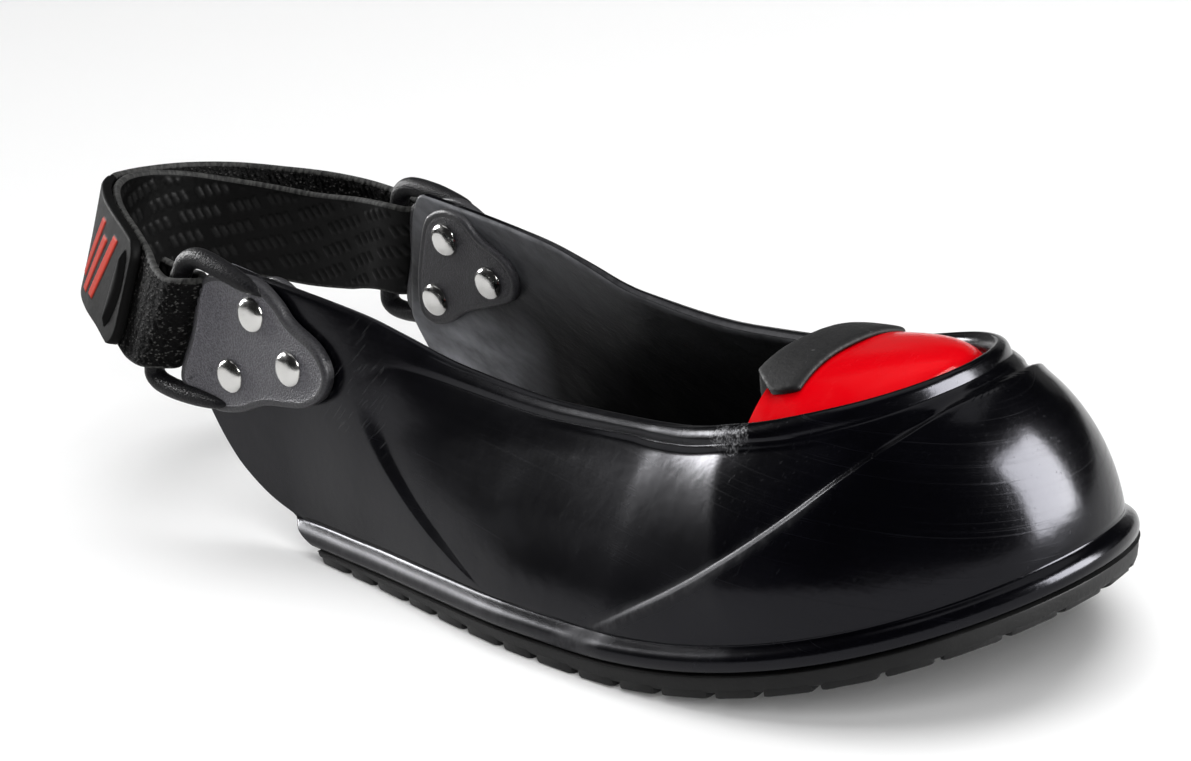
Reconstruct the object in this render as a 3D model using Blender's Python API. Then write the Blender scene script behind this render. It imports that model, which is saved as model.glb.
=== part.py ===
"""Safety toe overshoe: a moulded rubber forefoot cover with a cap inside and a heel strap.

Sizes are in millimetres. +X points to the toe, +Y to the wearer's left and +Z up. The
origin is on the floor, at the middle of a tread bar. The pull tab is on the -Y side.
"""
import math

import bmesh
import bpy
import numpy as np

MM = 0.001
GAP = 0.35
TINY = 0.01
SHARP_EDGE = math.radians(35.0)


def table(columns, *rows):
    """Rows of numbers as one array for each named column."""
    return dict(zip(columns.split(), np.array(rows, dtype=float).T))


# Sole and last
BALL_X = 16.0
TOE_X = 112.6
TOE_POWER = 2.5
SOLE_REAR = -99.0
FLAT_END = 6.0
TOE_SPRING = 23.0
SPRING_POWER = 1.85
SIDE = table(
    "x foot",
    (-165.0, 41.2),
    (-112.5, 40.2),
    (-80.0, 43.8),
    (-48.0, 49.4),
    (-16.0, 54.3),
    (BALL_X, 56.3),
)
SIDE_LEAN = 2.05
CROWN_POWER = 0.8
EDGE = table(
    "x height",
    (-165.0, 3.8),
    (SOLE_REAR, 3.8),
    (-40.0, 5.0),
    (20.0, 6.0),
    (TOE_X, 6.2),
)

# Mouth of the upper: band is the height of the raised strip below the rim
RIM_FRONT = 80.5
RIM_POWER = 3.7
RIM = table(
    "x half z band bead",
    (-165.0, 37.4, 81.5, 24.0, 0.0),
    (-122.0, 37.2, 75.7, 24.0, 0.0),
    (-84.0, 35.6, 70.3, 20.0, 0.0),
    (-77.0, 35.1, 69.0, 16.0, 0.1),
    (-65.0, 34.2, 65.8, 9.0, 0.4),
    (-46.0, 32.7, 60.6, 6.5, 0.9),
    (-9.0, 32.0, 56.6, 7.0, 1.3),
    (24.0, 32.2, 57.2, 7.4, 1.7),
    (42.6, 32.2, 60.1, 8.0, 2.0),
    (RIM_FRONT, 32.2, 69.2, 8.6, 2.3),
)

# Wall of the upper
WALL = 3.0
PANEL_DEPTH = 1.5
WELT_TOP = 7.0
WELT = table(
    "rise proud",
    (0.0, 2.4),
    (2.2, 2.7),
    (4.0, 2.2),
    (5.2, 0.5),
    (WELT_TOP, 0.0),
)
PANEL = table(
    "share depth",
    (0.06, 0.0),
    (0.18, 0.55),
    (0.36, 1.0),
    (0.58, 1.0),
    (0.80, 1.0),
    (0.97, 0.9),
)
BEAD = table(
    "share proud",
    (1.0, -0.15),
    (0.80, 0.6),
    (0.45, 1.0),
    (0.08, 0.75),
)
LIP = table(
    "share depth",
    (0.0, 0.15),
    (0.02, 0.65),
    (0.22, 1.0),
)
LINING = (0.93, 0.82, 0.67, 0.46, 0.23)
WALL_STEPS = 81
WING_HEM = 3.0
WING = table(
    "x low",
    (-165.0, 68.0),
    (-142.4, 38.6),
    (-140.2, 34.4),
    (-135.2, 26.6),
    (-130.0, 20.6),
    (-121.4, 14.4),
    (-116.6, 12.1),
    (-111.6, 10.2),
    (-101.5, 4.1),
    (-96.0, 2.0),
)

# Lines up the wall: each is upright over the welt, then goes from station foot to station
# head, which it meets at the height share reach; bend bows it and parts divide the space
# to the next line; panel is 1 on the sunk panel
LINE_START = 0.07
LINES = table(
    "foot head reach bend panel parts",
    (-147.5, -128.5, 1.0, 0.0, 0.0, 5),
    (-111.6, -114.0, 1.0, 0.0, 0.0, 2),
    (-101.5, -106.0, 1.0, 0.0, 0.0, 5),
    (-28.5, -79.5, 0.45, 0.8, 0.0, 1),
    (-25.5, -76.5, 0.45, 0.8, 1.0, 12),
    (10.5, 136.0, 0.75, -0.19, 1.0, 1),
    (13.0, 139.0, 0.75, -0.19, 0.0, 14),
)

# Outsole
SOLE_FLARE = 2.4
SOLE_LIP = 1.6
SOLE_SIDE_SECTIONS = 13
SOLE_TOE_SECTIONS = 18
OUTLINE_STEPS = 400
LUG_INSET = 0.7
LUG_HEIGHT = 2.0
LUG_SINK = 0.9
LUG_PITCH = 11.5
LUG_NOTCH = 2.2
LUG_REACH = 10.5
BAR_PITCH = 16.0
BAR_LENGTH = 12.0
BAR_WIDTH = 14.0
BAR_SPACE = 17.0
BARS_EACH_WAY = 5

# Toe cap and its edging strip
CAP_REAR = 40.5
CAP_GAP = 1.4
CAP_THICK = 2.0
CAP_CROWN = 13.1
CAP_FALL = 0.4
CAP_ARCH = 2.6
CAP_LOW = 0.14
CAP_SECTIONS = 12
CAP_WALL_ROWS = 5
CAP_CROWN_ROWS = 7
STRIP = table(
    "forward above",
    (-4.3, -5.5),
    (-4.3, 1.6),
    (-3.0, 2.9),
    (2.0, 3.1),
    (6.3, 2.9),
    (7.7, 1.9),
    (7.7, 0.7),
    (3.6, 0.7),
    (-0.4, 0.7),
    (-0.4, -5.5),
)
STRIP_SECTIONS = 17
STRIP_ENDS = (0.16, 0.84)

# Buckle plate, its loop, and the plate behind the wall
PLATE_THICK = 3.2
PLATE_BEVEL = 0.9
BACKING_THICK = 2.4
PLATE = table(
    "x z",
    (-130.4, 74.4),
    (-121.0, 75.6),
    (-112.8, 74.6),
    (-106.0, 70.2),
    (-101.0, 65.4),
    (-91.5, 60.2),
    (-87.2, 54.0),
    (-89.6, 47.8),
    (-96.5, 43.8),
    (-104.0, 42.4),
    (-114.0, 41.2),
    (-125.0, 37.6),
    (-134.5, 37.0),
    (-144.0, 43.2),
    (-138.8, 58.0),
)
BACKING_GAP = 0.5
BACKING = table(
    "x z",
    (-123.8, 69.8),
    (-119.6, 72.8),
    (-113.0, 73.8),
    (-106.6, 71.2),
    (-101.4, 65.0),
    (-94.2, 59.6),
    (-91.8, 53.0),
    (-95.4, 47.2),
    (-104.0, 45.2),
    (-115.0, 43.6),
    (-123.4, 40.4),
    (-130.4, 39.8),
    (-134.8, 43.6),
    (-133.2, 52.4),
    (-128.6, 62.0),
)
LOOP_FACETS = 8
LOOP = table(
    "x z out radius",
    (-112.8, 73.0, 2.4, 1.5),
    (-118.5, 74.4, 2.7, 2.2),
    (-126.0, 76.8, 2.9, 2.7),
    (-134.6, 78.6, 2.9, 2.8),
    (-139.8, 77.2, 2.9, 2.8),
    (-142.6, 73.6, 2.9, 2.8),
    (-147.8, 64.4, 2.9, 2.8),
    (-153.0, 55.0, 2.9, 2.8),
    (-158.2, 45.8, 2.9, 2.8),
    (-157.4, 42.4, 2.9, 2.8),
    (-152.4, 40.7, 2.9, 2.8),
    (-145.2, 39.9, 2.9, 2.7),
    (-138.0, 39.4, 2.7, 2.2),
    (-132.0, 39.0, 2.4, 1.5),
)
RIVETS = table(
    "x z",
    (-115.6, 65.6),
    (-102.2, 53.0),
    (-126.4, 47.6),
)
RIVET_HEAD = 4.7
RIVET_DOME = 2.9
RIVET_SHANK = 1.6
RIVET_FACETS = 10
HOLE_REACH = 14.0
DOME = table(
    "rise share",
    (1.0, 0.2),
    (0.83, 0.6),
    (0.42, 0.91),
    (0.0, 1.0),
)

# How the soft wall lets each set of plates turn in its own plane, in degrees, and shift
PLATE_SETS = {
    "right": {"side": -1.0, "turn": 0.0, "x": 0.0, "z": 0.0},
    "left": {"side": 1.0, "turn": 7.5, "x": -1.5, "z": 0.4},
}

# Heel strap: centre line from its sewn end to the tab, with the slant of its width
STRAP_WIDTH = 30.0
STRAP_THICK = 2.2
STRAP = table(
    "x y z tilt lean",
    (-162.5, -38.2, 61.2, 0.43, 0.20),
    (-157.0, -38.0, 60.6, 0.47, 0.12),
    (-150.2, -37.8, 59.5, 0.51, 0.08),
    (-144.8, -39.2, 58.3, 0.52, 0.08),
    (-142.4, -42.3, 57.9, 0.53, 0.08),
    (-144.8, -45.4, 58.4, 0.53, 0.08),
    (-150.4, -46.9, 59.8, 0.52, 0.10),
    (-157.6, -45.0, 61.7, 0.46, 0.18),
    (-164.8, -41.6, 63.8, 0.36, 0.28),
    (-174.1, -37.5, 66.6, 0.30, 0.31),
    (-183.6, -33.5, 69.0, 0.30, 0.31),
    (-193.1, -28.0, 70.6, 0.30, 0.27),
    (-202.2, -20.0, 71.7, 0.26, 0.20),
    (-208.6, -10.3, 71.1, 0.21, 0.18),
    (-211.0, 0.0, 69.3, 0.20, 0.22),
    (-209.0, 10.7, 66.4, 0.23, 0.22),
    (-203.0, 20.7, 62.9, 0.26, 0.16),
    (-193.0, 29.2, 59.8, 0.24, 0.07),
    (-180.0, 35.6, 57.0, 0.20, 0.02),
    (-166.0, 38.2, 56.8, 0.24, 0.00),
    (-158.5, 38.3, 57.3, 0.31, -0.05),
    (-151.3, 37.9, 57.6, 0.36, -0.08),
    (-145.7, 39.2, 56.8, 0.36, -0.08),
    (-143.3, 42.4, 56.4, 0.36, -0.08),
    (-145.7, 45.6, 56.9, 0.36, -0.08),
    (-151.5, 47.0, 58.0, 0.36, -0.08),
    (-159.5, 47.2, 58.8, 0.33, -0.05),
    (-169.5, 45.4, 60.2, 0.29, 0.01),
    (-181.5, 41.4, 61.9, 0.26, 0.06),
    (-194.0, 34.8, 63.7, 0.26, 0.12),
    (-205.0, 25.4, 66.1, 0.25, 0.18),
    (-212.0, 13.0, 68.4, 0.23, 0.22),
    (-214.2, 0.1, 70.2, 0.21, 0.22),
    (-211.6, -11.6, 71.9, 0.22, 0.18),
    (-209.4, -15.9, 72.4, 0.24, 0.19),
)
STRAP_STEPS = 2
TAB_THICK = 3.0
TAB_FROM_ROW = 8
TAB_TO_ROW = 13
TAB_ROWS = 7
TAB_CORNER = 7.0
TAB_RIDGE = 1.3
RIDGE_PLACE = 7.0
RIDGE_BOW = 4.0
RIDGE_WIDTH = 2.4


def along(rows, column, at):
    """Smooth curve through one column of a table, read at stations of its x column."""
    xs = rows["x"]
    ys = rows[column]
    slope = np.diff(ys) / np.diff(xs)
    before = slope[:-1]
    after = slope[1:]
    same = before * after > 0.0
    inner = np.where(same, 2.0 * before * after / np.where(same, before + after, 1.0), 0.0)
    tangent = np.concatenate(([slope[0]], inner, [slope[-1]]))
    at = np.clip(at, xs[0], xs[-1])
    k = np.clip(np.searchsorted(xs, at) - 1, 0, len(xs) - 2)
    step = xs[k + 1] - xs[k]
    t = (at - xs[k]) / step
    start = (2.0 * t - 3.0) * t * t + 1.0
    return (
        start * ys[k]
        + (1.0 - start) * ys[k + 1]
        + ((t - 2.0) * t + 1.0) * t * step * tangent[k]
        + (t - 1.0) * t * t * step * tangent[k + 1]
    )


def unit(vectors):
    return vectors / np.linalg.norm(vectors, axis=-1, keepdims=True)


def through(points, steps, closed=False):
    """Smooth curve through points, with the given number of steps in each span."""
    points = np.asarray(points, dtype=float)
    if closed:
        padded = np.concatenate((points[-1:], points, points[:2]))
        spans = len(points)
    else:
        first = 2.0 * points[:1] - points[1:2]
        last = 2.0 * points[-1:] - points[-2:-1]
        padded = np.concatenate((first, points, last))
        spans = len(points) - 1
    curve = []
    for k in range(spans):
        a, b, c, d = padded[k:k + 4]
        for t in np.arange(steps) / steps:
            curve.append(
                0.5 * (2.0 * b + (c - a) * t + (2.0 * a - 5.0 * b + 4.0 * c - d) * t * t
                       + (3.0 * b - a - 3.0 * c + d) * t ** 3)
            )
    if not closed:
        curve.append(points[-1])
    return np.array(curve)


# Base form of the upper: s runs along the near side to the toe, w up from sole to rim
TOE_RUN = (TOE_X - BALL_X) * math.pi / 2.0
TOE_S = BALL_X + TOE_RUN


def spring(x):
    """Rise of the sole's underside towards the toe."""
    return TOE_SPRING * (np.maximum(x - FLAT_END, 0.0) / (TOE_X - FLAT_END)) ** SPRING_POWER


def toe_share(s):
    return np.sin(np.clip((s - BALL_X) / TOE_RUN, 0.0, 1.0) * math.pi / 2.0)


def oval(s, front, rows, column, power):
    """Half outline: a table along the side, then a superellipse round the toe."""
    u = toe_share(s)
    side = np.minimum(s, BALL_X)
    half = along(rows, column, side) * np.sqrt(np.maximum(1.0 - u ** power, 0.0))
    return side + (front - BALL_X) * u, half


def foot_line(s):
    x, half = oval(s, TOE_X, SIDE, "foot", TOE_POWER)
    return x, half, spring(x) + along(EDGE, "height", x) + GAP


def rim_line(s):
    x, half = oval(s, RIM_FRONT, RIM, "half", RIM_POWER)
    return x, half, along(RIM, "z", x)


def base_point(s, w):
    """Point of the last's skin on the near side; sides lean in, the toe is a dome."""
    s, w = np.broadcast_arrays(np.asarray(s, dtype=float), np.asarray(w, dtype=float))
    foot_x, foot_half, foot_z = foot_line(s)
    rim_x, rim_half, rim_z = rim_line(s)
    rise = np.sin(w * math.pi / 2.0)
    dome = 1.0 - np.cos(w * math.pi / 2.0)
    crown = toe_share(s) ** CROWN_POWER
    lean = (1.0 - crown) * rise ** SIDE_LEAN + crown * dome
    x = foot_x + (rim_x - foot_x) * lean
    y = -(foot_half + (rim_half - foot_half) * lean)
    z = foot_z + (rim_z - foot_z) * rise
    return np.stack((x, y, z), axis=-1)


def base_normal(s, w):
    """Outward direction of the last's skin, from small steps along it."""
    step_s = 0.4
    step_w = 0.01
    across = base_point(np.minimum(s + step_s, TOE_S), w) - base_point(s - step_s, w)
    up = base_point(s, np.minimum(w + step_w, 1.0)) - base_point(s, np.maximum(w - step_w, 0.0))
    normal = unit(np.cross(across, up))
    centre = np.asarray(s) > TOE_S - step_s
    normal[..., 1] = np.where(centre, 0.0, normal[..., 1])
    return unit(normal)


def skin_half(x, z):
    """Half width of the last at a station and height on the straight side."""
    foot_x, foot_half, foot_z = foot_line(x)
    rim_x, rim_half, rim_z = rim_line(x)
    rise = np.clip((z - foot_z) / (rim_z - foot_z), 0.0, 1.0)
    return foot_half + (rim_half - foot_half) * rise ** SIDE_LEAN


def on_side(x, z, out, side):
    """Point at a distance outside the last's skin, on the side given by its sign."""
    x, z, out = np.broadcast_arrays(x, z, out)
    return np.stack((x, side * (skin_half(x, z) + out), z), axis=-1)


def material(name, colour, roughness, metallic=0.0):
    made = bpy.data.materials.new(name)
    made.use_nodes = True
    shader = made.node_tree.nodes["Principled BSDF"]
    shader.inputs["Base Color"].default_value = (*colour, 1.0)
    shader.inputs["Roughness"].default_value = roughness
    shader.inputs["Metallic"].default_value = metallic
    return made


def add_object(name, points, faces, finish=None):
    """Mesh object from points in millimetres, with its faces turned outwards."""
    mesh = bpy.data.meshes.new(name)
    work = bmesh.new()
    verts = [work.verts.new(np.asarray(point) * MM) for point in points]
    for face in faces:
        work.faces.new([verts[k] for k in face])
    bmesh.ops.recalc_face_normals(work, faces=work.faces)
    work.to_mesh(mesh)
    work.free()
    mesh.shade_smooth()
    mesh.set_sharp_from_angle(angle=SHARP_EDGE)
    made = bpy.data.objects.new(name, mesh)
    bpy.context.scene.collection.objects.link(made)
    if finish is None:
        made.hide_render = True
        made.display_type = "WIRE"
    else:
        mesh.materials.append(finish)
    return made


def add_boolean(target, other, operation):
    modifier = target.modifiers.new(other.name, "BOOLEAN")
    modifier.operation = operation
    modifier.solver = "EXACT"
    modifier.object = other


def loft(loops, ends=True):
    """Points and faces of closed loops joined in order, with both ends filled."""
    loops = np.asarray(loops)
    count, size = loops.shape[:2]
    faces = []
    for k in range(count - 1):
        for r in range(size):
            n = (r + 1) % size
            faces.append((k * size + r, k * size + n, (k + 1) * size + n, (k + 1) * size + r))
    if ends:
        faces.append(tuple(range(size)))
        faces.append(tuple(range((count - 1) * size, count * size)))
    return loops.reshape(-1, 3), faces


def wall_lines():
    """Station, at each height share, and panel share of every line up the near wall."""
    shares = np.linspace(0.0, 1.0, WALL_STEPS)
    keys = len(LINES["foot"])
    paths = []
    for k in range(keys):
        t = np.clip((shares - LINE_START) / (LINES["reach"][k] - LINE_START), 0.0, 1.0)
        bow = t + LINES["bend"][k] * t * (1.0 - t)
        paths.append(LINES["foot"][k] + (LINES["head"][k] - LINES["foot"][k]) * bow)
    paths.append(np.full_like(shares, TOE_S))
    panels = list(LINES["panel"]) + [0.0]
    lines = []
    for k in range(keys):
        parts = int(LINES["parts"][k])
        for n in range(parts):
            t = n / parts
            station = (1.0 - t) * paths[k] + t * paths[k + 1]
            lines.append((station, panels[k] if n == 0 else min(panels[k], panels[k + 1])))
    lines.append((paths[-1], 0.0))
    return shares, lines


def wall_loop(shares, station, panel):
    """Closed section of the wall: out and up to the bead, over the lip and down inside."""
    points = base_point(station, shares)
    normals = base_normal(station, shares)
    steps = np.linalg.norm(np.diff(points, axis=0), axis=1)
    run = np.concatenate(([0.0], np.cumsum(steps)))
    start = np.interp(0.0, points[:, 2] - along(WING, "low", points[:, 0]), run)
    top = run[-1]
    rim_x = rim_line(station[-1])[0]
    band = along(RIM, "band", rim_x)
    bead = along(RIM, "bead", rim_x)
    hem = max(WELT_TOP - start, WING_HEM)
    low = start + hem
    high = top - band
    rises = start + hem * WELT["rise"] / WELT_TOP
    rows = list(zip(rises, np.interp(rises, WELT["rise"], WELT["proud"])))
    for share, depth in zip(PANEL["share"], PANEL["depth"]):
        rows.append((low + (high - low) * share, -panel * depth * PANEL_DEPTH))
    for share, proud in zip(BEAD["share"], BEAD["proud"]):
        rows.append((top - band * share, bead * proud))
    for share, depth in zip(LIP["share"], LIP["depth"]):
        rows.append((top - band * share, -WALL * depth))
    for share in LINING:
        rows.append((start + (top - start) * share, -WALL))
    rows.append((start, -WALL))
    lengths = np.array([row[0] for row in rows])
    offsets = np.array([row[1] for row in rows])
    at = np.stack([np.interp(lengths, run, points[:, k]) for k in range(3)], axis=-1)
    out = unit(np.stack([np.interp(lengths, run, normals[:, k]) for k in range(3)], axis=-1))
    return at + out * offsets[:, None]


def mirrored(loops):
    """Near loops followed by their far copies, with the middle loop used once."""
    far = np.array(loops[-2::-1]) * np.array((1.0, -1.0, 1.0))
    return np.concatenate((np.array(loops), far))


def make_upper(finish, holes):
    shares, lines = wall_lines()
    loops = [wall_loop(shares, station, panel) for station, panel in lines]
    loops[-1][:, 1] = 0.0
    upper = add_object("upper", *loft(mirrored(loops)), finish)
    add_boolean(upper, holes, "DIFFERENCE")


def sole_edge(s, out):
    """Near outline of the sole, moved outwards in plan."""
    step = 0.4
    x, half, _ = foot_line(s)
    x_next, half_next, _ = foot_line(np.minimum(s + step, TOE_S))
    x_last, half_last, _ = foot_line(s - step)
    run = np.stack((x_next - x_last, -(half_next - half_last)), axis=-1)
    run[..., 0] = np.where(s > TOE_S - step, 0.0, run[..., 0])
    run = unit(run)
    x = x + run[..., 1] * out
    x = np.where(s < SOLE_REAR + step, SOLE_REAR, x)
    y = np.where(s > TOE_S - step, 0.0, -half - run[..., 0] * out)
    return x, y


def prism(outline, low, high):
    """Points and faces of an upright block on an outline, both faces following the spring."""
    outline = np.asarray(outline)
    rise = spring(outline[:, 0])
    bottom = np.column_stack((outline, rise + low))
    top = np.column_stack((outline, rise + high))
    return loft(np.stack((bottom, top)))


def joined(blocks):
    points = []
    faces = []
    for block_points, block_faces in blocks:
        start = len(points)
        points.extend(block_points)
        faces.extend([tuple(k + start for k in face) for face in block_faces])
    return points, faces


def edge_lugs():
    """Blocks round the sole's edge, with a notch between each pair."""
    fine = np.linspace(SOLE_REAR, TOE_S, OUTLINE_STEPS)
    x, y = sole_edge(fine, 0.0)
    run = np.concatenate(([0.0], np.cumsum(np.hypot(np.diff(x), np.diff(y)))))
    count = int(run[-1] // LUG_PITCH)
    pitch = run[-1] / count
    blocks = []
    for k in range(count):
        ends = (k * pitch + LUG_NOTCH / 2.0, (k + 1) * pitch - LUG_NOTCH / 2.0)
        s = np.interp(ends, run, fine)
        outer = np.column_stack(sole_edge(s, -LUG_INSET))
        inner = np.column_stack(sole_edge(s, -LUG_REACH))
        outline = np.concatenate((outer, inner[::-1]))
        for side in (1.0, -1.0):
            blocks.append(prism(outline * (1.0, side), 0.0, LUG_HEIGHT + LUG_SINK))
    return blocks


def middle_bars():
    """Rows of bars across the middle of the tread, one of them at the origin."""
    fine = np.linspace(SOLE_REAR, TOE_S, OUTLINE_STEPS)
    blocks = []
    for k in range(-BARS_EACH_WAY, BARS_EACH_WAY + 1):
        x = k * BAR_PITCH
        corners = np.array((x - BAR_LENGTH / 2.0, x + BAR_LENGTH / 2.0))
        s = np.interp(corners, foot_line(fine)[0], fine)
        room = foot_line(s)[1].min() - LUG_REACH - LUG_NOTCH
        side_bars = int((room - BAR_WIDTH / 2.0) // BAR_SPACE)
        for n in range(-side_bars, side_bars + 1):
            y = np.array((-0.5, 0.5)) * BAR_WIDTH + n * BAR_SPACE
            outline = [(corners[0], y[0]), (corners[1], y[0]), (corners[1], y[1]), (corners[0], y[1])]
            blocks.append(prism(outline, 0.0, LUG_HEIGHT + LUG_SINK))
    return blocks


def make_outsole(finish):
    side = np.linspace(SOLE_REAR, BALL_X, SOLE_SIDE_SECTIONS)
    toe = np.linspace(BALL_X, TOE_S, SOLE_TOE_SECTIONS + 1)[1:]
    s = np.concatenate((side, toe))
    height = along(EDGE, "height", foot_line(s)[0])
    levels = ((0.0, LUG_HEIGHT, 0.0), (SOLE_FLARE, -SOLE_LIP, 1.0), (SOLE_FLARE, 0.0, 1.0))
    rings = []
    for out, rise, share in levels:
        x, y = sole_edge(s, out)
        z = spring(foot_line(s)[0]) + rise + share * height
        rings.append(np.column_stack((x, y, z)))
    near = np.stack(rings, axis=1)
    far = near * np.array((1.0, -1.0, 1.0))
    strips = [np.concatenate((near[k], far[k][::-1])) for k in range(len(s) - 1)]
    points, faces = loft(strips)
    tip = len(points)
    points = np.concatenate((points, near[-1]))
    last = (len(strips) - 1) * 2 * len(levels)
    faces = faces[:-1]
    faces.append((last, last + 1, tip + 1, tip))
    faces.append((last + 1, last + 2, tip + 2, tip + 1))
    faces.append((last + 2, last + 3, tip + 2))
    faces.append((last + 3, last + 4, tip + 1, tip + 2))
    faces.append((last + 4, last + 5, tip, tip + 1))
    faces.append((last + 5, last, tip))
    outsole = add_object("outsole", points, faces, finish)
    lugs = add_object("lug_blocks", *joined(edge_lugs() + middle_bars()))
    add_boolean(outsole, lugs, "UNION")


def rim_station(x):
    """Station whose rim point lies at x, ahead of the ball."""
    share = np.clip((x - BALL_X) / (RIM_FRONT - BALL_X), 0.0, 1.0)
    return BALL_X + TOE_RUN * np.arcsin(share) * 2.0 / math.pi


def cap_point(x, across, above):
    """Point over the cap's crown: across runs from the near rim (0) to the far rim (1)."""
    x, across, above = np.broadcast_arrays(x, across, above)
    s = rim_station(x)
    w = np.ones_like(s)
    edge = base_point(s, w) - (WALL + CAP_GAP) * base_normal(s, w)
    crown = CAP_CROWN * np.maximum((RIM_FRONT - x) / (RIM_FRONT - CAP_REAR), 0.0) ** CAP_FALL
    half = np.maximum(-edge[..., 1], TINY)
    aside = 1.0 - 2.0 * across
    slope = crown * CAP_ARCH * np.sign(aside) * np.abs(aside) ** (CAP_ARCH - 1.0) / half
    y = -half * aside - above * slope / np.hypot(1.0, slope)
    z = edge[..., 2] + crown * (1.0 - np.abs(aside) ** CAP_ARCH) + above / np.hypot(1.0, slope)
    return np.stack((edge[..., 0] + x - rim_line(s)[0], y, z), axis=-1)


def make_cap(finish):
    """Cap shell: walls inside the toe's skin, and a crown that fills in behind the rim."""
    forward = np.sin(np.linspace(0.0, 1.0, CAP_SECTIONS) * math.pi / 2.0)
    stations = rim_station(CAP_REAR + (RIM_FRONT - CAP_REAR) * forward)
    heights = np.linspace(CAP_LOW, 1.0, CAP_WALL_ROWS)
    crown = np.linspace(0.0, 1.0, CAP_CROWN_ROWS + 2)[1:-1]
    outer = []
    for s in stations:
        wall = base_point(s, heights) - (WALL + CAP_GAP) * base_normal(s, heights)
        if s > TOE_S - TINY:
            wall[:, 1] = 0.0
        top = cap_point(rim_line(s)[0], crown, 0.0)
        far = wall[::-1] * np.array((1.0, -1.0, 1.0))
        outer.append(np.concatenate((wall, top, far)))
    count = len(outer)
    size = len(outer[0])
    faces = []
    for k in range(count - 1):
        for r in range(size - 1):
            faces.append((k * size + r, k * size + r + 1, (k + 1) * size + r + 1, (k + 1) * size + r))
    mesh = bpy.data.meshes.new("toe_cap")
    work = bmesh.new()
    verts = [work.verts.new(point * MM) for point in np.concatenate(outer)]
    for face in faces:
        work.faces.new([verts[k] for k in face])
    bmesh.ops.remove_doubles(work, verts=work.verts, dist=2.0 * TINY * MM)
    bmesh.ops.recalc_face_normals(work, faces=work.faces)
    work.to_mesh(mesh)
    work.free()
    mesh.shade_smooth()
    mesh.materials.append(finish)
    cap = bpy.data.objects.new("toe_cap", mesh)
    bpy.context.scene.collection.objects.link(cap)
    shell = cap.modifiers.new("wall", "SOLIDIFY")
    shell.thickness = CAP_THICK * MM
    shell.offset = -1.0


def make_strip(finish):
    loops = []
    for across in np.linspace(*STRIP_ENDS, STRIP_SECTIONS):
        loops.append(cap_point(CAP_REAR + STRIP["forward"], across, STRIP["above"]))
    add_object("cap_edging", *loft(loops), finish)


def set_place(rows, name):
    """Stations and heights of a table, turned with its set about the rivets' middle."""
    place = PLATE_SETS[name]
    turn = math.radians(place["turn"])
    middle_x = RIVETS["x"].mean()
    middle_z = RIVETS["z"].mean()
    x = rows["x"] - middle_x
    z = rows["z"] - middle_z
    turned_x = x * math.cos(turn) - z * math.sin(turn)
    turned_z = x * math.sin(turn) + z * math.cos(turn)
    return turned_x + middle_x + place["x"], turned_z + middle_z + place["z"]


def plate_solid(rows, low, high, bevel, name):
    """Points and faces of a plate that follows the wall, with one bevelled face."""
    edge = through(np.column_stack(set_place(rows, name)), 2, closed=True)
    side = PLATE_SETS[name]["side"]
    middle = edge.mean(axis=0)
    half_way = 0.5 * (edge + middle)
    inset = edge - bevel * unit(edge - middle)
    shoulder = high - np.sign(high) * bevel
    rings = ((half_way, low), (edge, low), (edge, shoulder), (inset, high), (half_way, high))
    loops = [on_side(ring[:, 0], ring[:, 1], out, side) for ring, out in rings]
    points, faces = loft(loops, ends=False)
    size = len(edge)
    hubs = on_side(middle[0], middle[1], np.array((low, high)), side)
    start = len(points)
    top = start - size
    points = np.concatenate((points, hubs))
    for r in range(size):
        n = (r + 1) % size
        faces.append((r, n, start))
        faces.append((top + n, top + r, start + 1))
    return points, faces


def tube(path, radii, facets):
    """Points and faces of a round bar along a path, with its radius at each point."""
    run = unit(np.gradient(path, axis=0))
    side = unit(np.cross(run, np.array((0.0, 1.0, 0.0))))
    lift = np.cross(side, run)
    turn = np.arange(facets) * 2.0 * math.pi / facets
    ring = np.cos(turn)[None, :, None] * side[:, None, :] + np.sin(turn)[None, :, None] * lift[:, None, :]
    return loft(path[:, None, :] + radii[:, None, None] * ring)


def make_plates(finish, name, holes):
    points, faces = plate_solid(PLATE, GAP, GAP + PLATE_THICK, PLATE_BEVEL, name)
    plate = add_object("buckle_plate_" + name, points, faces, finish)
    x, z = set_place(LOOP, name)
    path = on_side(x, z, LOOP["out"] + GAP, PLATE_SETS[name]["side"])
    loop = add_object("loop_bar_" + name, *tube(path, LOOP["radius"], LOOP_FACETS))
    add_boolean(plate, loop, "UNION")
    add_boolean(plate, holes, "DIFFERENCE")
    deep = -WALL - BACKING_GAP
    points, faces = plate_solid(BACKING, deep, deep - BACKING_THICK, PLATE_BEVEL, name)
    backing = add_object("backing_plate_" + name, points, faces, finish)
    add_boolean(backing, holes, "DIFFERENCE")


def rivet_axis(x, z, side):
    """Middle of the wall at a rivet and the direction out of the wall."""
    step = 1.0
    along_x = on_side(x + step, z, 0.0, side) - on_side(x - step, z, 0.0, side)
    along_z = on_side(x, z + step, 0.0, side) - on_side(x, z - step, 0.0, side)
    out = unit(np.cross(along_x, along_z))
    out = out * np.sign(out[1]) * side
    return on_side(x, z, 0.0, side), out


def turned(centre, axis, profile, facets):
    """Points and faces of a profile of (height, radius) turned round an axis."""
    first = unit(np.cross(axis, np.array((1.0, 0.0, 0.0))))
    second = np.cross(axis, first)
    turn = np.arange(facets) * 2.0 * math.pi / facets
    round_trip = np.cos(turn)[:, None] * first + np.sin(turn)[:, None] * second
    loops = [centre + axis * height + radius * round_trip for height, radius in profile]
    return loft(loops)


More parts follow.
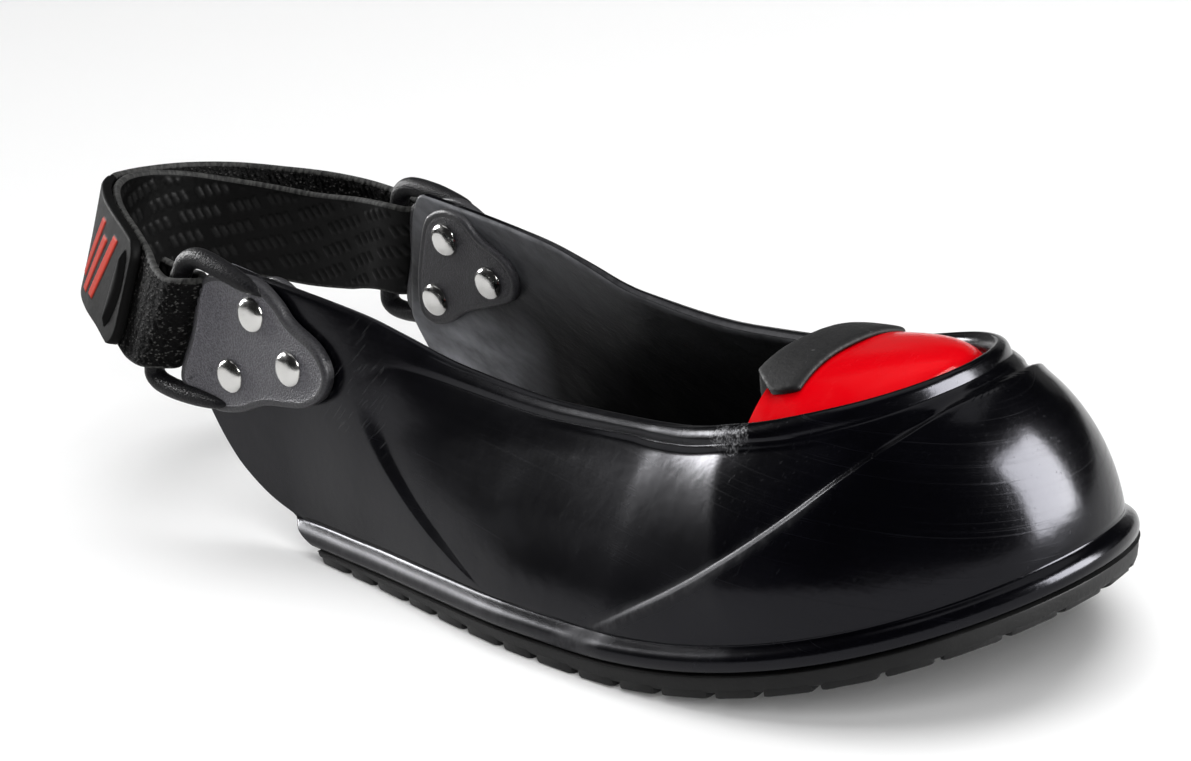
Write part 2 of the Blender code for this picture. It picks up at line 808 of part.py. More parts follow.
def make_rivets(finish, name):
    top = GAP + PLATE_THICK + GAP
    bottom = -WALL - BACKING_GAP - BACKING_THICK - GAP
    rises = RIVET_DOME * DOME["rise"]
    radii = RIVET_HEAD * DOME["share"]
    outer = list(zip(top + rises, radii))
    shank = [(top, RIVET_SHANK), (bottom, RIVET_SHANK)]
    inner = list(zip(bottom - rises[::-1], radii[::-1]))
    for k, (x, z) in enumerate(zip(*set_place(RIVETS, name))):
        centre, axis = rivet_axis(x, z, PLATE_SETS[name]["side"])
        points, faces = turned(centre, axis, outer + shank + inner, RIVET_FACETS)
        add_object(f"rivet_{name}_{k + 1}", points, faces, finish)


def make_holes():
    profile = ((HOLE_REACH, RIVET_SHANK + GAP), (-HOLE_REACH, RIVET_SHANK + GAP))
    blocks = []
    for name, place in PLATE_SETS.items():
        for x, z in zip(*set_place(RIVETS, name)):
            centre, axis = rivet_axis(x, z, place["side"])
            blocks.append(turned(centre, axis, profile, RIVET_FACETS))
    return add_object("rivet_holes", *joined(blocks))


def strap_frame():
    """Centre line of the strap, with its width and face directions."""
    columns = np.column_stack([STRAP[key] for key in ("x", "y", "z", "tilt", "lean")])
    curve = through(columns, STRAP_STEPS)
    centre = curve[:, :3]
    wide = unit(np.column_stack((curve[:, 3], curve[:, 4], np.ones(len(curve)))))
    run = unit(np.gradient(centre, axis=0))
    face = unit(np.cross(run, wide))
    return centre, wide, face


def make_strap(finish):
    centre, wide, face = strap_frame()
    across = wide * STRAP_WIDTH / 2.0
    through_it = face * STRAP_THICK / 2.0
    corners = ((-1.0, -1.0), (1.0, -1.0), (1.0, 1.0), (-1.0, 1.0))
    loops = np.stack([centre + a * across + b * through_it for a, b in corners], axis=1)
    add_object("heel_strap", *loft(loops), finish)


def make_tab(finish):
    """Tab outside the strap's free end, with rounded corners and a curved thumb ridge."""
    rows = slice(TAB_FROM_ROW * STRAP_STEPS, TAB_TO_ROW * STRAP_STEPS)
    centre, wide, face = [values[rows] for values in strap_frame()]
    centre = centre - face * (STRAP_THICK / 2.0 + GAP + TAB_THICK / 2.0)
    left = np.concatenate(([0.0], np.cumsum(np.linalg.norm(np.diff(centre, axis=0), axis=1))))
    half = np.full_like(left, STRAP_WIDTH / 2.0)
    round_end = left < TAB_CORNER
    half[round_end] -= TAB_CORNER - np.sqrt(TAB_CORNER ** 2 - (TAB_CORNER - left[round_end]) ** 2)
    across = np.linspace(-1.0, 1.0, TAB_ROWS)
    ridge_at = RIDGE_PLACE + RIDGE_BOW * across ** 2
    ridge = TAB_RIDGE * np.exp(-((left[:, None] - ridge_at) / RIDGE_WIDTH) ** 2) * (1.0 - across ** 4)
    spot = centre[:, None, :] + wide[:, None, :] * half[:, None, None] * across[None, :, None]
    outer = spot - face[:, None, :] * (TAB_THICK / 2.0 + ridge)[:, :, None]
    inner = spot + face[:, None, :] * TAB_THICK / 2.0
    loops = np.concatenate((outer, inner[:, ::-1]), axis=1)
    add_object("pull_tab", *loft(loops), finish)


def main():
    for old in list(bpy.data.objects):
        bpy.data.objects.remove(old)
    rubber = material("moulded_rubber", (0.012, 0.012, 0.014), 0.32)
    tread = material("sole_rubber", (0.016, 0.016, 0.017), 0.6)
    red = material("red_cap", (0.75, 0.005, 0.012), 0.2)
    edging = material("edging_rubber", (0.02, 0.02, 0.02), 0.65)
    nylon = material("grained_nylon", (0.02, 0.02, 0.022), 0.55)
    steel = material("polished_steel", (0.82, 0.82, 0.8), 0.15, 1.0)
    band = material("strap_band", (0.014, 0.014, 0.014), 0.85)
    tab = material("tab_rubber", (0.03, 0.03, 0.03), 0.5)
    holes = make_holes()
    make_upper(rubber, holes)
    make_outsole(tread)
    make_cap(red)
    make_strip(edging)
    for name in PLATE_SETS:
        make_plates(nylon, name, holes)
        make_rivets(steel, name)
    make_strap(band)
    make_tab(tab)


main()
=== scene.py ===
# Looks of a safety toe overshoe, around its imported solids: metres, +X to the toe, +Z up.
import math

import bpy
import numpy as np
from mathutils import Matrix


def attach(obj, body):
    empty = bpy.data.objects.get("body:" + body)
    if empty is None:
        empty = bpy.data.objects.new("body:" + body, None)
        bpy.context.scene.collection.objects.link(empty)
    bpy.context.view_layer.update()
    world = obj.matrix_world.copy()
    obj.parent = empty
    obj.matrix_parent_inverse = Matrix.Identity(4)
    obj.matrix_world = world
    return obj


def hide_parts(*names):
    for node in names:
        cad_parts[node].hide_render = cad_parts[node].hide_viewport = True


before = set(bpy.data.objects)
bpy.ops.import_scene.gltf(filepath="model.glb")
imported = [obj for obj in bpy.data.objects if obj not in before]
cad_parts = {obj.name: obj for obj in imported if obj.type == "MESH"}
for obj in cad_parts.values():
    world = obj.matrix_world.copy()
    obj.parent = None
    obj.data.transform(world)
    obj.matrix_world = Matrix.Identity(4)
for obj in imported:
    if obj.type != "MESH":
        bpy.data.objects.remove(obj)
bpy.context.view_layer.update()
mm = 0.001
flip = np.array((1.0, -1.0, 1.0))  # a near point to its far twin
print("frame loaded:", len(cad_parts), "nodes")

# Camera, at the photograph's angle
shot = {
    "eye": (0.40495, -0.44253, 0.26267),
    "right": (0.73030, 0.67594, -0.09881),
    "up": (-0.15394, 0.30377, 0.94023),
    "back": (0.66555, -0.67144, 0.32590),
    "lens": 79.237,
    "sensor": 36.0,
}


def makeCamera():
    data = bpy.data.cameras.new("camera")
    data.lens = shot["lens"]
    data.sensor_width = shot["sensor"]
    camera = bpy.data.objects.new("camera", data)
    bpy.context.scene.collection.objects.link(camera)
    turn = np.identity(4)
    turn[:3, :] = np.column_stack([shot[key] for key in ("right", "up", "back", "eye")])
    camera.matrix_world = Matrix(turn.tolist())
    bpy.context.scene.camera = camera


makeCamera()
print("camera set")


# Shared shape tools: rows of numbers as one array for each named column
def columns(names, *rows):
    return dict(zip(names.split(), np.array(rows, dtype=float).T))


# Cubic through (xs, ys) with no overshoot: each inner slope is the harmonic mean of its two spans
def curveAt(xs, ys, at):
    slope = np.diff(ys) / np.diff(xs)
    before, after = slope[:-1], slope[1:]
    same = before * after > 0.0
    inner = np.where(same, 2.0 * before * after / np.where(same, before + after, 1.0), 0.0)
    tangent = np.concatenate((slope[:1], inner, slope[-1:]))
    at = np.clip(at, xs[0], xs[-1])
    k = np.clip(np.searchsorted(xs, at) - 1, 0, len(xs) - 2)
    step = xs[k + 1] - xs[k]
    t = (at - xs[k]) / step
    start = (2.0 * t - 3.0) * t * t + 1.0
    bend = ((t - 2.0) * t + 1.0) * t * step * tangent[k] + (t - 1.0) * t * t * step * tangent[k + 1]
    return start * ys[k] + (1.0 - start) * ys[k + 1] + bend


def unit(vectors):
    return vectors / np.maximum(np.linalg.norm(vectors, axis=-1, keepdims=True), 1e-9)


# Catmull-Rom curve: in each span a cubic whose end slopes are half the step between neighbours
def routeAt(points, at, closed=False):
    points = np.asarray(points, dtype=float)
    count = points.shape[-2]
    if closed:
        padded = np.concatenate((points[..., -1:, :], points, points[..., :2, :]), axis=-2)
        spans = count
    else:
        first = 2.0 * points[..., :1, :] - points[..., 1:2, :]
        last = 2.0 * points[..., -1:, :] - points[..., -2:-1, :]
        padded = np.concatenate((first, points, last), axis=-2)
        spans = count - 1
    k = np.clip(np.floor(at).astype(int), 0, spans - 1)
    t = (at - k)[:, None]
    a, b, c, d = (padded[..., k + n, :] for n in range(4))
    cubic = (3.0 * b - a - 3.0 * c + d) * t ** 3
    return 0.5 * (2.0 * b + (c - a) * t + (2.0 * a - 5.0 * b + 4.0 * c - d) * t * t + cubic)


# Positions along key rows, with the given number of steps in each span
def spanSteps(counts):
    return np.concatenate([k + np.arange(n) / n for k, n in enumerate(counts)])


# Soft step from 0 to 1 across a width centred on 0
def softStep(value, width):
    t = np.clip(value / width + 0.5, 0.0, 1.0)
    return t * t * (3.0 - 2.0 * t)


# Soft step across a place and width that are given as a pair
def past(value, change):
    return softStep(value - change[0], change[1])


# 1 from one soft step to the next
def between(value, start, stop):
    return past(value, start) * (1.0 - past(value, stop))


def circle(facets):
    return np.arange(facets) * 2.0 * math.pi / facets


# Quads of a grid of points whose rows close on themselves
def gridFaces(rows, cols):
    r = np.arange(rows - 1)[:, None]
    c = np.arange(cols)[None, :]
    nextC = (c + 1) % cols
    corners = (r * cols + c, r * cols + nextC, (r + 1) * cols + nextC, (r + 1) * cols + c)
    return np.stack(np.broadcast_arrays(*corners), axis=-1).reshape(-1, 4)


# First and last ring of a grid, each as one face
def endCaps(count, size):
    return tuple(range(size))[::-1], tuple(range((count - 1) * size, count * size))


# Quads from the first half of a ring to its second half, where the halves are the faces of a shell
def foldFaces(size):
    i = np.arange(size // 2 - 1)
    return np.stack((i + 1, i, size - 1 - i, size - 2 - i), axis=-1)


# Enclosed volume times six: its sign tells which way the faces point
def volumeOf(points, faces):
    a, b, c, d = (points[faces[:, k]] for k in range(4))
    return np.sum(np.cross(a, b) * c) + np.sum(np.cross(a, c) * d)


# Several grids as one set of points and faces, each turned to face as the first does
def joinGrids(grids):
    starts = np.cumsum([0] + [len(points) for points, faces in grids])
    signs = [np.sign(volumeOf(points, faces)) for points, faces in grids]
    turned = [faces[:, ::int(sign * signs[0])] for (points, faces), sign in zip(grids, signs)]
    faces = np.concatenate([faces + start for faces, start in zip(turned, starts)])
    return np.concatenate([points for points, faces in grids]), faces


poleWeld = 0.00001  # metres within which the points of a pole join
fineWeld = 0.0000001  # the same for the plates, whose corner points crowd


# Mesh piece from points in millimetres; faces are turned so that the enclosed volume is positive
def addPiece(name, points, faces, finishes, nodes, caps=(), finishOf=None, uv=None, values=None,
             merge=0.0, sharp=50.0):
    turn = slice(None, None, -1) if volumeOf(points, faces) < 0.0 else slice(None)
    mesh = bpy.data.meshes.new(name)
    mesh.from_pydata((points * mm).tolist(), [], faces[:, turn].tolist() + [list(cap)[turn] for cap in caps])
    for finish in finishes:
        mesh.materials.append(finish)
    if finishOf is not None:
        index = np.concatenate((finishOf, np.zeros(len(caps), dtype=int)))
        mesh.polygons.foreach_set("material_index", index)
    if uv is not None:
        corner = np.zeros(len(mesh.loops), dtype=int)
        mesh.loops.foreach_get("vertex_index", corner)
        layer = mesh.uv_layers.new(name="band")
        layer.data.foreach_set("uv", (uv * mm)[corner].astype(np.float32).ravel())
    for key, value in (values or {}).items():
        layer = mesh.attributes.new(key, "FLOAT", "POINT")
        layer.data.foreach_set("value", value.astype(np.float32).ravel())
    piece = bpy.data.objects.new(name, mesh)
    bpy.context.scene.collection.objects.link(piece)
    if merge:
        weld = piece.modifiers.new("close poles", "WELD")
        weld.merge_threshold = merge
    mesh.shade_smooth()
    mesh.set_sharp_from_angle(angle=math.radians(sharp))
    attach(piece, "root")
    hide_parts(*nodes)
    print("made", name, len(mesh.vertices), "points")


# Material tools
def newFinish(name, colour, roughness, metallic=0.0, specular=0.5):
    made = bpy.data.materials.new(name)
    made.use_nodes = True
    shader = made.node_tree.nodes["Principled BSDF"]
    shader.inputs["Base Color"].default_value = (*colour, 1.0)
    shader.inputs["Roughness"].default_value = roughness
    shader.inputs["Metallic"].default_value = metallic
    shader.inputs["Specular IOR Level"].default_value = specular
    return made, made.node_tree, shader


def addNode(tree, kind, inputs, **settings):
    made = tree.nodes.new(kind)
    for key, value in settings.items():
        setattr(made, key, value)
    for key, value in inputs.items():
        if isinstance(value, bpy.types.NodeSocket):
            tree.links.new(value, made.inputs[key])
        else:
            made.inputs[key].default_value = value
    return made


# Object coordinates, or the strap's own, turned and then stretched
def coords(tree, stretch=(1.0, 1.0, 1.0), turn=(0.0, 0.0, 0.0), band=False):
    if band:
        place = addNode(tree, "ShaderNodeUVMap", {}, uv_map="band").outputs["UV"]
    else:
        place = addNode(tree, "ShaderNodeTexCoord", {}).outputs["Object"]
    values = {"Vector": place, "Scale": [1.0 / part for part in stretch], "Rotation": turn}
    return addNode(tree, "ShaderNodeMapping", values, vector_type="TEXTURE").outputs["Vector"]


def noise(tree, place, scale, detail=4.0, rough=0.55):
    values = {"Vector": place, "Scale": scale, "Detail": detail, "Roughness": rough}
    return addNode(tree, "ShaderNodeTexNoise", values).outputs[0]


def ranged(tree, value, fromMin, fromMax, toMin=0.0, toMax=1.0):
    values = {"Value": value, "From Min": fromMin, "From Max": fromMax, "To Min": toMin, "To Max": toMax}
    return addNode(tree, "ShaderNodeMapRange", values).outputs["Result"]


# Noise, which mostly runs from 0.3 to 0.7, as values from low to high
def spread(tree, pattern, low, high):
    return ranged(tree, pattern, 0.3, 0.7, low, high)


def maths(tree, operation, a, b):
    return addNode(tree, "ShaderNodeMath", {0: a, 1: b}, operation=operation).outputs[0]


# Value plus another times a factor
def plus(tree, value, other, factor):
    return maths(tree, "ADD", value, maths(tree, "MULTIPLY", other, factor))


# Mix of two colours, each a plain colour or the output of a node
def mixed(tree, factor, a, b):
    first, second = (part if isinstance(part, bpy.types.NodeSocket) else (*part, 1.0) for part in (a, b))
    return addNode(tree, "ShaderNodeMix", {0: factor, 6: first, 7: second}, data_type="RGBA").outputs[2]


def weights(tree, name):
    return addNode(tree, "ShaderNodeAttribute", {}, attribute_name=name).outputs["Fac"]


def covered(tree, shader, colour=None, rough=None):
    for key, socket in (("Base Color", colour), ("Roughness", rough)):
        if socket is not None:
            tree.links.new(socket, shader.inputs[key])


def bumped(tree, shader, height, strength, distance):
    values = {"Height": height, "Strength": strength, "Distance": distance}
    bump = addNode(tree, "ShaderNodeBump", values)
    tree.links.new(bump.outputs["Normal"], shader.inputs["Normal"])


# Mask of 1 near a place that fades to 0 at its reach, flattened in height by a factor, with a ragged edge
def around(tree, place, reach, flat):
    spot = coords(tree, (1.0, 1.0, flat))
    middle = (place[0], place[1], place[2] * flat)
    away = addNode(tree, "ShaderNodeVectorMath", {0: spot, 1: middle}, operation="DISTANCE")
    ragged = spread(tree, noise(tree, coords(tree), 1.6 / reach), -0.5 * reach, 0.5 * reach)
    far = maths(tree, "ADD", away.outputs["Value"], ragged)
    return ranged(tree, far, reach, 0.3 * reach)


# Moulded rubber: gloss over the hard cap and satin behind it, from the satin attribute; long thin
# scratches, slow clouds of wear and a faint ripple; dull and grazed where the dull attribute says; a pale
# rub on the near rim and a brushed patch in front of the near plate
rubberLook = {
    "colour": (0.0006, 0.0006, 0.0011),
    "worn": (0.0036, 0.0036, 0.0056),
    "tint": (0.90, 0.90, 1.0, 1.0),
    "specular": 0.2,
    "glossy": (0.15, 0.23),
    "satin": (0.20, 0.28),
    "clouds": 28.0,
    "wornFrom": (0.45, 0.75),
    "levelCuts": ((9.0, 9.0, 1700.0), (0.0, 0.12, 0.0)),  # stretch and turn of the scratches
    "levelShown": (0.56, 0.74),
    "steepCuts": ((700.0, 700.0, 12.0), (0.0, 0.5, 0.2)),
    "steepShown": (0.60, 0.78),
    "cutScale": 2.0,
    "glossScratch": 0.13,
    "satinScratch": 0.03,
    "dull": 0.28,
    "grazeScale": 420.0,
    "grazeShown": (0.42, 0.70, 0.0, 0.13),
    "rubPlace": (0.0425, -0.0365, 0.0588),
    "rubReach": 0.0066,
    "rubFlat": 1.9,
    "rubColour": (0.16, 0.16, 0.165),
    "rubDull": 0.4,
    "fleckScale": 1700.0,
    "fleckShown": (0.46, 0.66, 0.06, 1.0),
    "brushPlace": (-0.0830, -0.0400, 0.0510),
    "brushReach": 0.0190,
    "brushCuts": ((1500.0, 150.0, 130.0), (0.0, 0.75, 0.0)),
    "brushShown": (0.56, 0.72, 0.0, 0.14),
    "rippleScale": 160.0,
    "rippleDepth": 0.0004,
    "cutDepth": 0.04,  # of a scratch, as a share of the ripple
}


def makeRubber():
    look = rubberLook
    made, tree, shader = newFinish("moulded rubber", look["colour"], 0.2, specular=look["specular"])
    shader.inputs["Specular Tint"].default_value = look["tint"]
    satin, dull = weights(tree, "satin"), weights(tree, "dull")
    clouds = noise(tree, coords(tree), look["clouds"], 5.0)
    level = noise(tree, coords(tree, *look["levelCuts"]), look["cutScale"], 4.0)
    steep = noise(tree, coords(tree, *look["steepCuts"]), look["cutScale"], 3.0)
    levelLines = ranged(tree, level, *look["levelShown"])
    lines = maths(tree, "MAXIMUM", levelLines, ranged(tree, steep, *look["steepShown"]))
    low = ranged(tree, satin, 0.0, 1.0, look["glossy"][0], look["satin"][0])
    high = ranged(tree, satin, 0.0, 1.0, look["glossy"][1], look["satin"][1])
    cut = ranged(tree, satin, 0.0, 1.0, look["glossScratch"], look["satinScratch"])
    rough = plus(tree, spread(tree, clouds, low, high), lines, cut)

    near = around(tree, look["rubPlace"], look["rubReach"], look["rubFlat"])
    flecks = noise(tree, coords(tree, (1.0, 1.0, 0.7)), look["fleckScale"], 3.0, 0.6)
    flecked = maths(tree, "MULTIPLY", near, ranged(tree, flecks, *look["fleckShown"]))
    grazes = noise(tree, coords(tree, (1.0, 1.0, 0.5)), look["grazeScale"], 5.0, 0.7)
    grazed = maths(tree, "MULTIPLY", dull, ranged(tree, grazes, *look["grazeShown"]))
    hairs = noise(tree, coords(tree, *look["brushCuts"]), 1.0, 3.0, 0.6)
    patch = around(tree, look["brushPlace"], look["brushReach"], 1.0)
    brushed = maths(tree, "MULTIPLY", patch, ranged(tree, hairs, *look["brushShown"]))
    rub = maths(tree, "MAXIMUM", maths(tree, "MAXIMUM", flecked, grazed), brushed)

    rough = plus(tree, plus(tree, rough, dull, look["dull"]), rub, look["rubDull"])
    faint = ranged(tree, lines, 0.0, 1.0, 0.3, 1.0)
    wear = maths(tree, "MULTIPLY", ranged(tree, clouds, *look["wornFrom"]), faint)
    skin = mixed(tree, wear, look["colour"], look["worn"])
    covered(tree, shader, mixed(tree, rub, skin, look["rubColour"]), rough)
    ripple = noise(tree, coords(tree), look["rippleScale"], 3.0)
    bumped(tree, shader, plus(tree, ripple, lines, look["cutDepth"]), 0.2, look["rippleDepth"])
    return made


# Lining side of the wall: duller, with fine wrinkles along the wall, and paler towards its top edge; low down
# at the rear the same pale colour is a painted sheen
liningLook = {
    "colour": (0.0012, 0.0012, 0.0015),
    # dust: the pale colour, towards the top edge and as the painted sheen low down at the rear
    "dust": (0.30, 0.305, 0.33),
    "specular": 0.12,
    "rough": (0.30, 0.52),
    "wrinkleScale": 60.0,
    "wrinkleDepth": 0.0014,
    "topPale": (0.032, 0.078, 0.0, 0.8),  # heights between which it grows, and its shares there
    "topPower": 2.2,
    "rearSheen": (-0.086, -0.118, 0.0, 0.75),  # painted sheen low down at the rear: the same along the shoe
    "rearBelow": (0.050, 0.034),
}


def makeLining():
    look = liningLook
    made, tree, shader = newFinish("lining rubber", look["colour"], 0.42, specular=look["specular"])
    wrinkle = noise(tree, coords(tree, (1.0, 1.0, 2.6), (0.0, 0.5, 0.0)), look["wrinkleScale"], 6.0, 0.6)
    spot = addNode(tree, "ShaderNodeTexCoord", {}).outputs["Object"]
    parts = addNode(tree, "ShaderNodeSeparateXYZ", {"Vector": spot}).outputs
    # pale colour: towards the top edge by a power of the height, and a painted sheen low down at the rear
    top = maths(tree, "POWER", ranged(tree, parts["Z"], *look["topPale"]), look["topPower"])
    low = ranged(tree, parts["Z"], *look["rearBelow"])
    rear = maths(tree, "MULTIPLY", ranged(tree, parts["X"], *look["rearSheen"]), low)
    dust = maths(tree, "MULTIPLY", maths(tree, "MAXIMUM", top, rear), spread(tree, wrinkle, 0.3, 1.0))
    colour = mixed(tree, dust, look["colour"], look["dust"])
    covered(tree, shader, colour, spread(tree, wrinkle, *look["rough"]))
    bumped(tree, shader, wrinkle, 0.5, look["wrinkleDepth"])
    return made


# Tread rubber: matte, with dust in slow clouds and a fine tooth
treadLook = {
    "colour": (0.003, 0.003, 0.0032),
    "dust": (0.011, 0.011, 0.011),
    "dustFrom": (0.45, 0.8),
    "specular": 0.2,
    "rough": (0.45, 0.66),
    "clouds": 45.0,
    "toothScale": 900.0,
    "toothDepth": 0.0003,
}


def makeTread():
    look = treadLook
    made, tree, shader = newFinish("tread rubber", look["colour"], 0.55, specular=look["specular"])
    clouds = noise(tree, coords(tree), look["clouds"], 6.0)
    dust = ranged(tree, clouds, *look["dustFrom"])
    colour = mixed(tree, dust, look["colour"], look["dust"])
    covered(tree, shader, colour, spread(tree, clouds, *look["rough"]))
    bumped(tree, shader, noise(tree, coords(tree), look["toothScale"], 3.0), 0.3, look["toothDepth"])
    return made


# Red coated cap: a thin clear coat, with a faint ripple and a few rub marks
redLook = {
    "colour": (0.63, 0.001, 0.004),
    "shades": ((0.58, 0.0005, 0.003), (0.68, 0.0010, 0.006)),
    "shadeScale": 40.0,
    "specular": 0.04,
    "rubScale": 130.0,
    "rubRough": (0.45, 0.8, 0.18, 0.38),  # where a rub begins and is full, and the roughness there
    "coat": 0.03,
    "coatRough": 0.10,
    "rippleScale": 220.0,
    "rippleDepth": 0.0004,
}


def makeRed():
    look = redLook
    made, tree, shader = newFinish("red coating", look["colour"], 0.24, specular=look["specular"])
    rub = noise(tree, coords(tree, (1.0, 0.35, 1.0)), look["rubScale"], 5.0, 0.65)
    shade = noise(tree, coords(tree), look["shadeScale"], 3.0)
    covered(tree, shader, mixed(tree, shade, *look["shades"]), ranged(tree, rub, *look["rubRough"]))
    shader.inputs["Coat Weight"].default_value = look["coat"]
    shader.inputs["Coat Roughness"].default_value = look["coatRough"]
    bumped(tree, shader, noise(tree, coords(tree), look["rippleScale"], 2.0), 0.12, look["rippleDepth"])
    return made


# Soft edging: dull and pitted, with specks of pale dust
edgingLook = {
    "colour": (0.006, 0.006, 0.0064),
    "dust": (0.10, 0.10, 0.10),
    "dustScale": 700.0,
    "dustShown": (0.70, 0.78, 0.0, 0.5),
    "specular": 0.16,
    "rough": (0.5, 0.7),
    "pitScale": 1100.0,
    "pitDepth": 0.0004,
}


def makeEdging():
    look = edgingLook
    made, tree, shader = newFinish("edging rubber", look["colour"], 0.6, specular=look["specular"])
    pits = noise(tree, coords(tree), look["pitScale"], 3.0, 0.6)
    dust = ranged(tree, noise(tree, coords(tree), look["dustScale"], 2.0), *look["dustShown"])
    colour = mixed(tree, dust, look["colour"], look["dust"])
    covered(tree, shader, colour, spread(tree, pits, *look["rough"]))
    bumped(tree, shader, pits, 0.35, look["pitDepth"])
    return made


# Moulded nylon: spark-eroded grain, strong on the fields of the plates and weak on borders and loops
nylonLook = {
    "grained": {"grain": 0.7, "rough": 0.5, "specular": 0.42,
                "dark": (0.027, 0.0264, 0.0304), "light": (0.086, 0.0836, 0.0948)},
    "border": {"grain": 0.3, "rough": 0.44, "specular": 0.28,
               "dark": (0.014, 0.0138, 0.0155), "light": (0.030, 0.0295, 0.033)},
    "loop": {"grain": 0.45, "rough": 0.42, "specular": 0.10,
             "dark": (0.002, 0.002, 0.0024), "light": (0.008, 0.0079, 0.0090)},
    "backing": {"grain": 0.5, "rough": 0.5, "specular": 0.28,
                "dark": (0.013, 0.0127, 0.0144), "light": (0.038, 0.0370, 0.0415)},
}
nylonGrain = {
    "scale": 1900.0,
    "shown": (0.1, 0.7),
    "depth": 0.0003,
    "clouds": 70.0,
    "roughSway": (-0.06, 0.08),
}


def makeNylon(name):
    look, grain = nylonLook[name], nylonGrain
    made, tree, shader = newFinish(name + " nylon", look["dark"], look["rough"], specular=look["specular"])
    values = {"Vector": coords(tree), "Scale": grain["scale"]}
    cells = addNode(tree, "ShaderNodeTexVoronoi", values).outputs["Distance"]
    rough = [look["rough"] + sway for sway in grain["roughSway"]]
    clouds = noise(tree, coords(tree), grain["clouds"], 5.0)
    colour = mixed(tree, ranged(tree, cells, *grain["shown"]), look["dark"], look["light"])
    covered(tree, shader, colour, spread(tree, clouds, *rough))
    bumped(tree, shader, cells, look["grain"], grain["depth"])
    return made


# Polished steel: bright, with a faint hammered ripple
steelLook = {
    "colour": (0.58, 0.575, 0.56),
    "rough": (0.14, 0.27),
    "rippleScale": 420.0,
    "rippleDepth": 0.0004,
}


def makeSteel():
    look = steelLook
    made, tree, shader = newFinish("polished steel", look["colour"], 0.2, metallic=1.0)
    ripple = noise(tree, coords(tree), look["rippleScale"], 3.0)
    covered(tree, shader, rough=spread(tree, ripple, *look["rough"]))
    bumped(tree, shader, ripple, 0.2, look["rippleDepth"])
    return made


# Woven loop pile: rows of small loops, dull and deep black, with a painted highlight: pale colour on the tops
# of the loops and fibres
pileLook = {
    "colour": (0.006, 0.006, 0.006),
    "dark": (0.0012, 0.0012, 0.0012),
    # pale: a painted highlight, shown where the loops and fibres stand highest
    "pale": (0.085, 0.083, 0.08),
    "paleFrom": (0.16, 0.40),
    "specular": 0.12,
    "rough": 0.85,
    "loops": (760.0, 980.0, 1.0),  # to a metre, along and across the band
    "fibreScale": 1700.0,
    "depth": 0.0012,
}


def makePile():
    look = pileLook
    made, tree, shader = newFinish("loop pile", look["colour"], look["rough"], specular=look["specular"])
    values = {"Vector": coords(tree, look["loops"], band=True), "Scale": 1.0, "Randomness": 0.9}
    loops = addNode(tree, "ShaderNodeTexVoronoi", values).outputs["Distance"]
    fibres = noise(tree, coords(tree, (1.0, 1.7, 1.0), band=True), look["fibreScale"], 3.0, 0.7)
    height = maths(tree, "SUBTRACT", fibres, loops)
    # painted highlight: pale colour on the tops of the loops and fibres
    covered(tree, shader, mixed(tree, ranged(tree, height, *look["paleFrom"]), look["dark"], look["pale"]))
    bumped(tree, shader, height, 1.0, look["depth"])
    return made


# Rubber back of the strap: satin, with its raised marks a little duller and painted paler, a painted
# highlight
strapRubberLook = {
    "colour": (0.0014, 0.0014, 0.0014),
    # marks: painted highlight colour of the raised marks
    "marks": (0.0062, 0.0062, 0.0062),
    "specular": 0.08,
    "rough": (0.38, 0.5),
    "marksDull": 0.12,
    "toothScale": 800.0,
    "toothDepth": 0.0002,
}


def makeStrapRubber():
    look = strapRubberLook
    made, tree, shader = newFinish("strap rubber", look["colour"], 0.45, specular=look["specular"])
    raised = weights(tree, "marks")
    tooth = noise(tree, coords(tree), look["toothScale"], 3.0)
    rough = plus(tree, spread(tree, tooth, *look["rough"]), raised, look["marksDull"])
    # painted highlight: the raised marks paler
    covered(tree, shader, mixed(tree, raised, look["colour"], look["marks"]), rough)
    bumped(tree, shader, tooth, 0.25, look["toothDepth"])
    return made


# Cut edge of the strap: pale cloth core, broken by dark threads
strapEdgeLook = {
    "colour": (0.012, 0.012, 0.0115),
    "dark": (0.003, 0.003, 0.003),
    "pale": (0.035, 0.035, 0.033),
    "paleFrom": (0.4, 0.62),
    "specular": 0.2,
    "rough": 0.8,
    "threadScale": 900.0,
    "threadDepth": 0.0003,
}


def makeStrapEdge():
    look = strapEdgeLook
    made, tree, shader = newFinish("strap edge", look["colour"], look["rough"], specular=look["specular"])
    threads = noise(tree, coords(tree, (1.0, 0.4, 1.0), band=True), look["threadScale"], 3.0)
    covered(tree, shader, mixed(tree, ranged(tree, threads, *look["paleFrom"]), look["dark"], look["pale"]))
    bumped(tree, shader, threads, 0.5, look["threadDepth"])
    return made


# Tab rubber: satin, with plain red bars where the marks attribute is 1
tabLook = {
    "colour": (0.0045, 0.0045, 0.0045),
    "bars": (0.58, 0.045, 0.025),
    "specular": 0.02,
    "rough": (0.48, 0.6),
    "toothScale": 700.0,
    "toothDepth": 0.0002,
}


def makeTabRubber():
    look = tabLook
    made, tree, shader = newFinish("tab rubber", look["colour"], 0.55, specular=look["specular"])
    tooth = noise(tree, coords(tree), look["toothScale"], 3.0)
    colour = mixed(tree, weights(tree, "marks"), look["colour"], look["bars"])
    covered(tree, shader, colour, spread(tree, tooth, *look["rough"]))
    bumped(tree, shader, tooth, 0.2, look["toothDepth"])
    return made


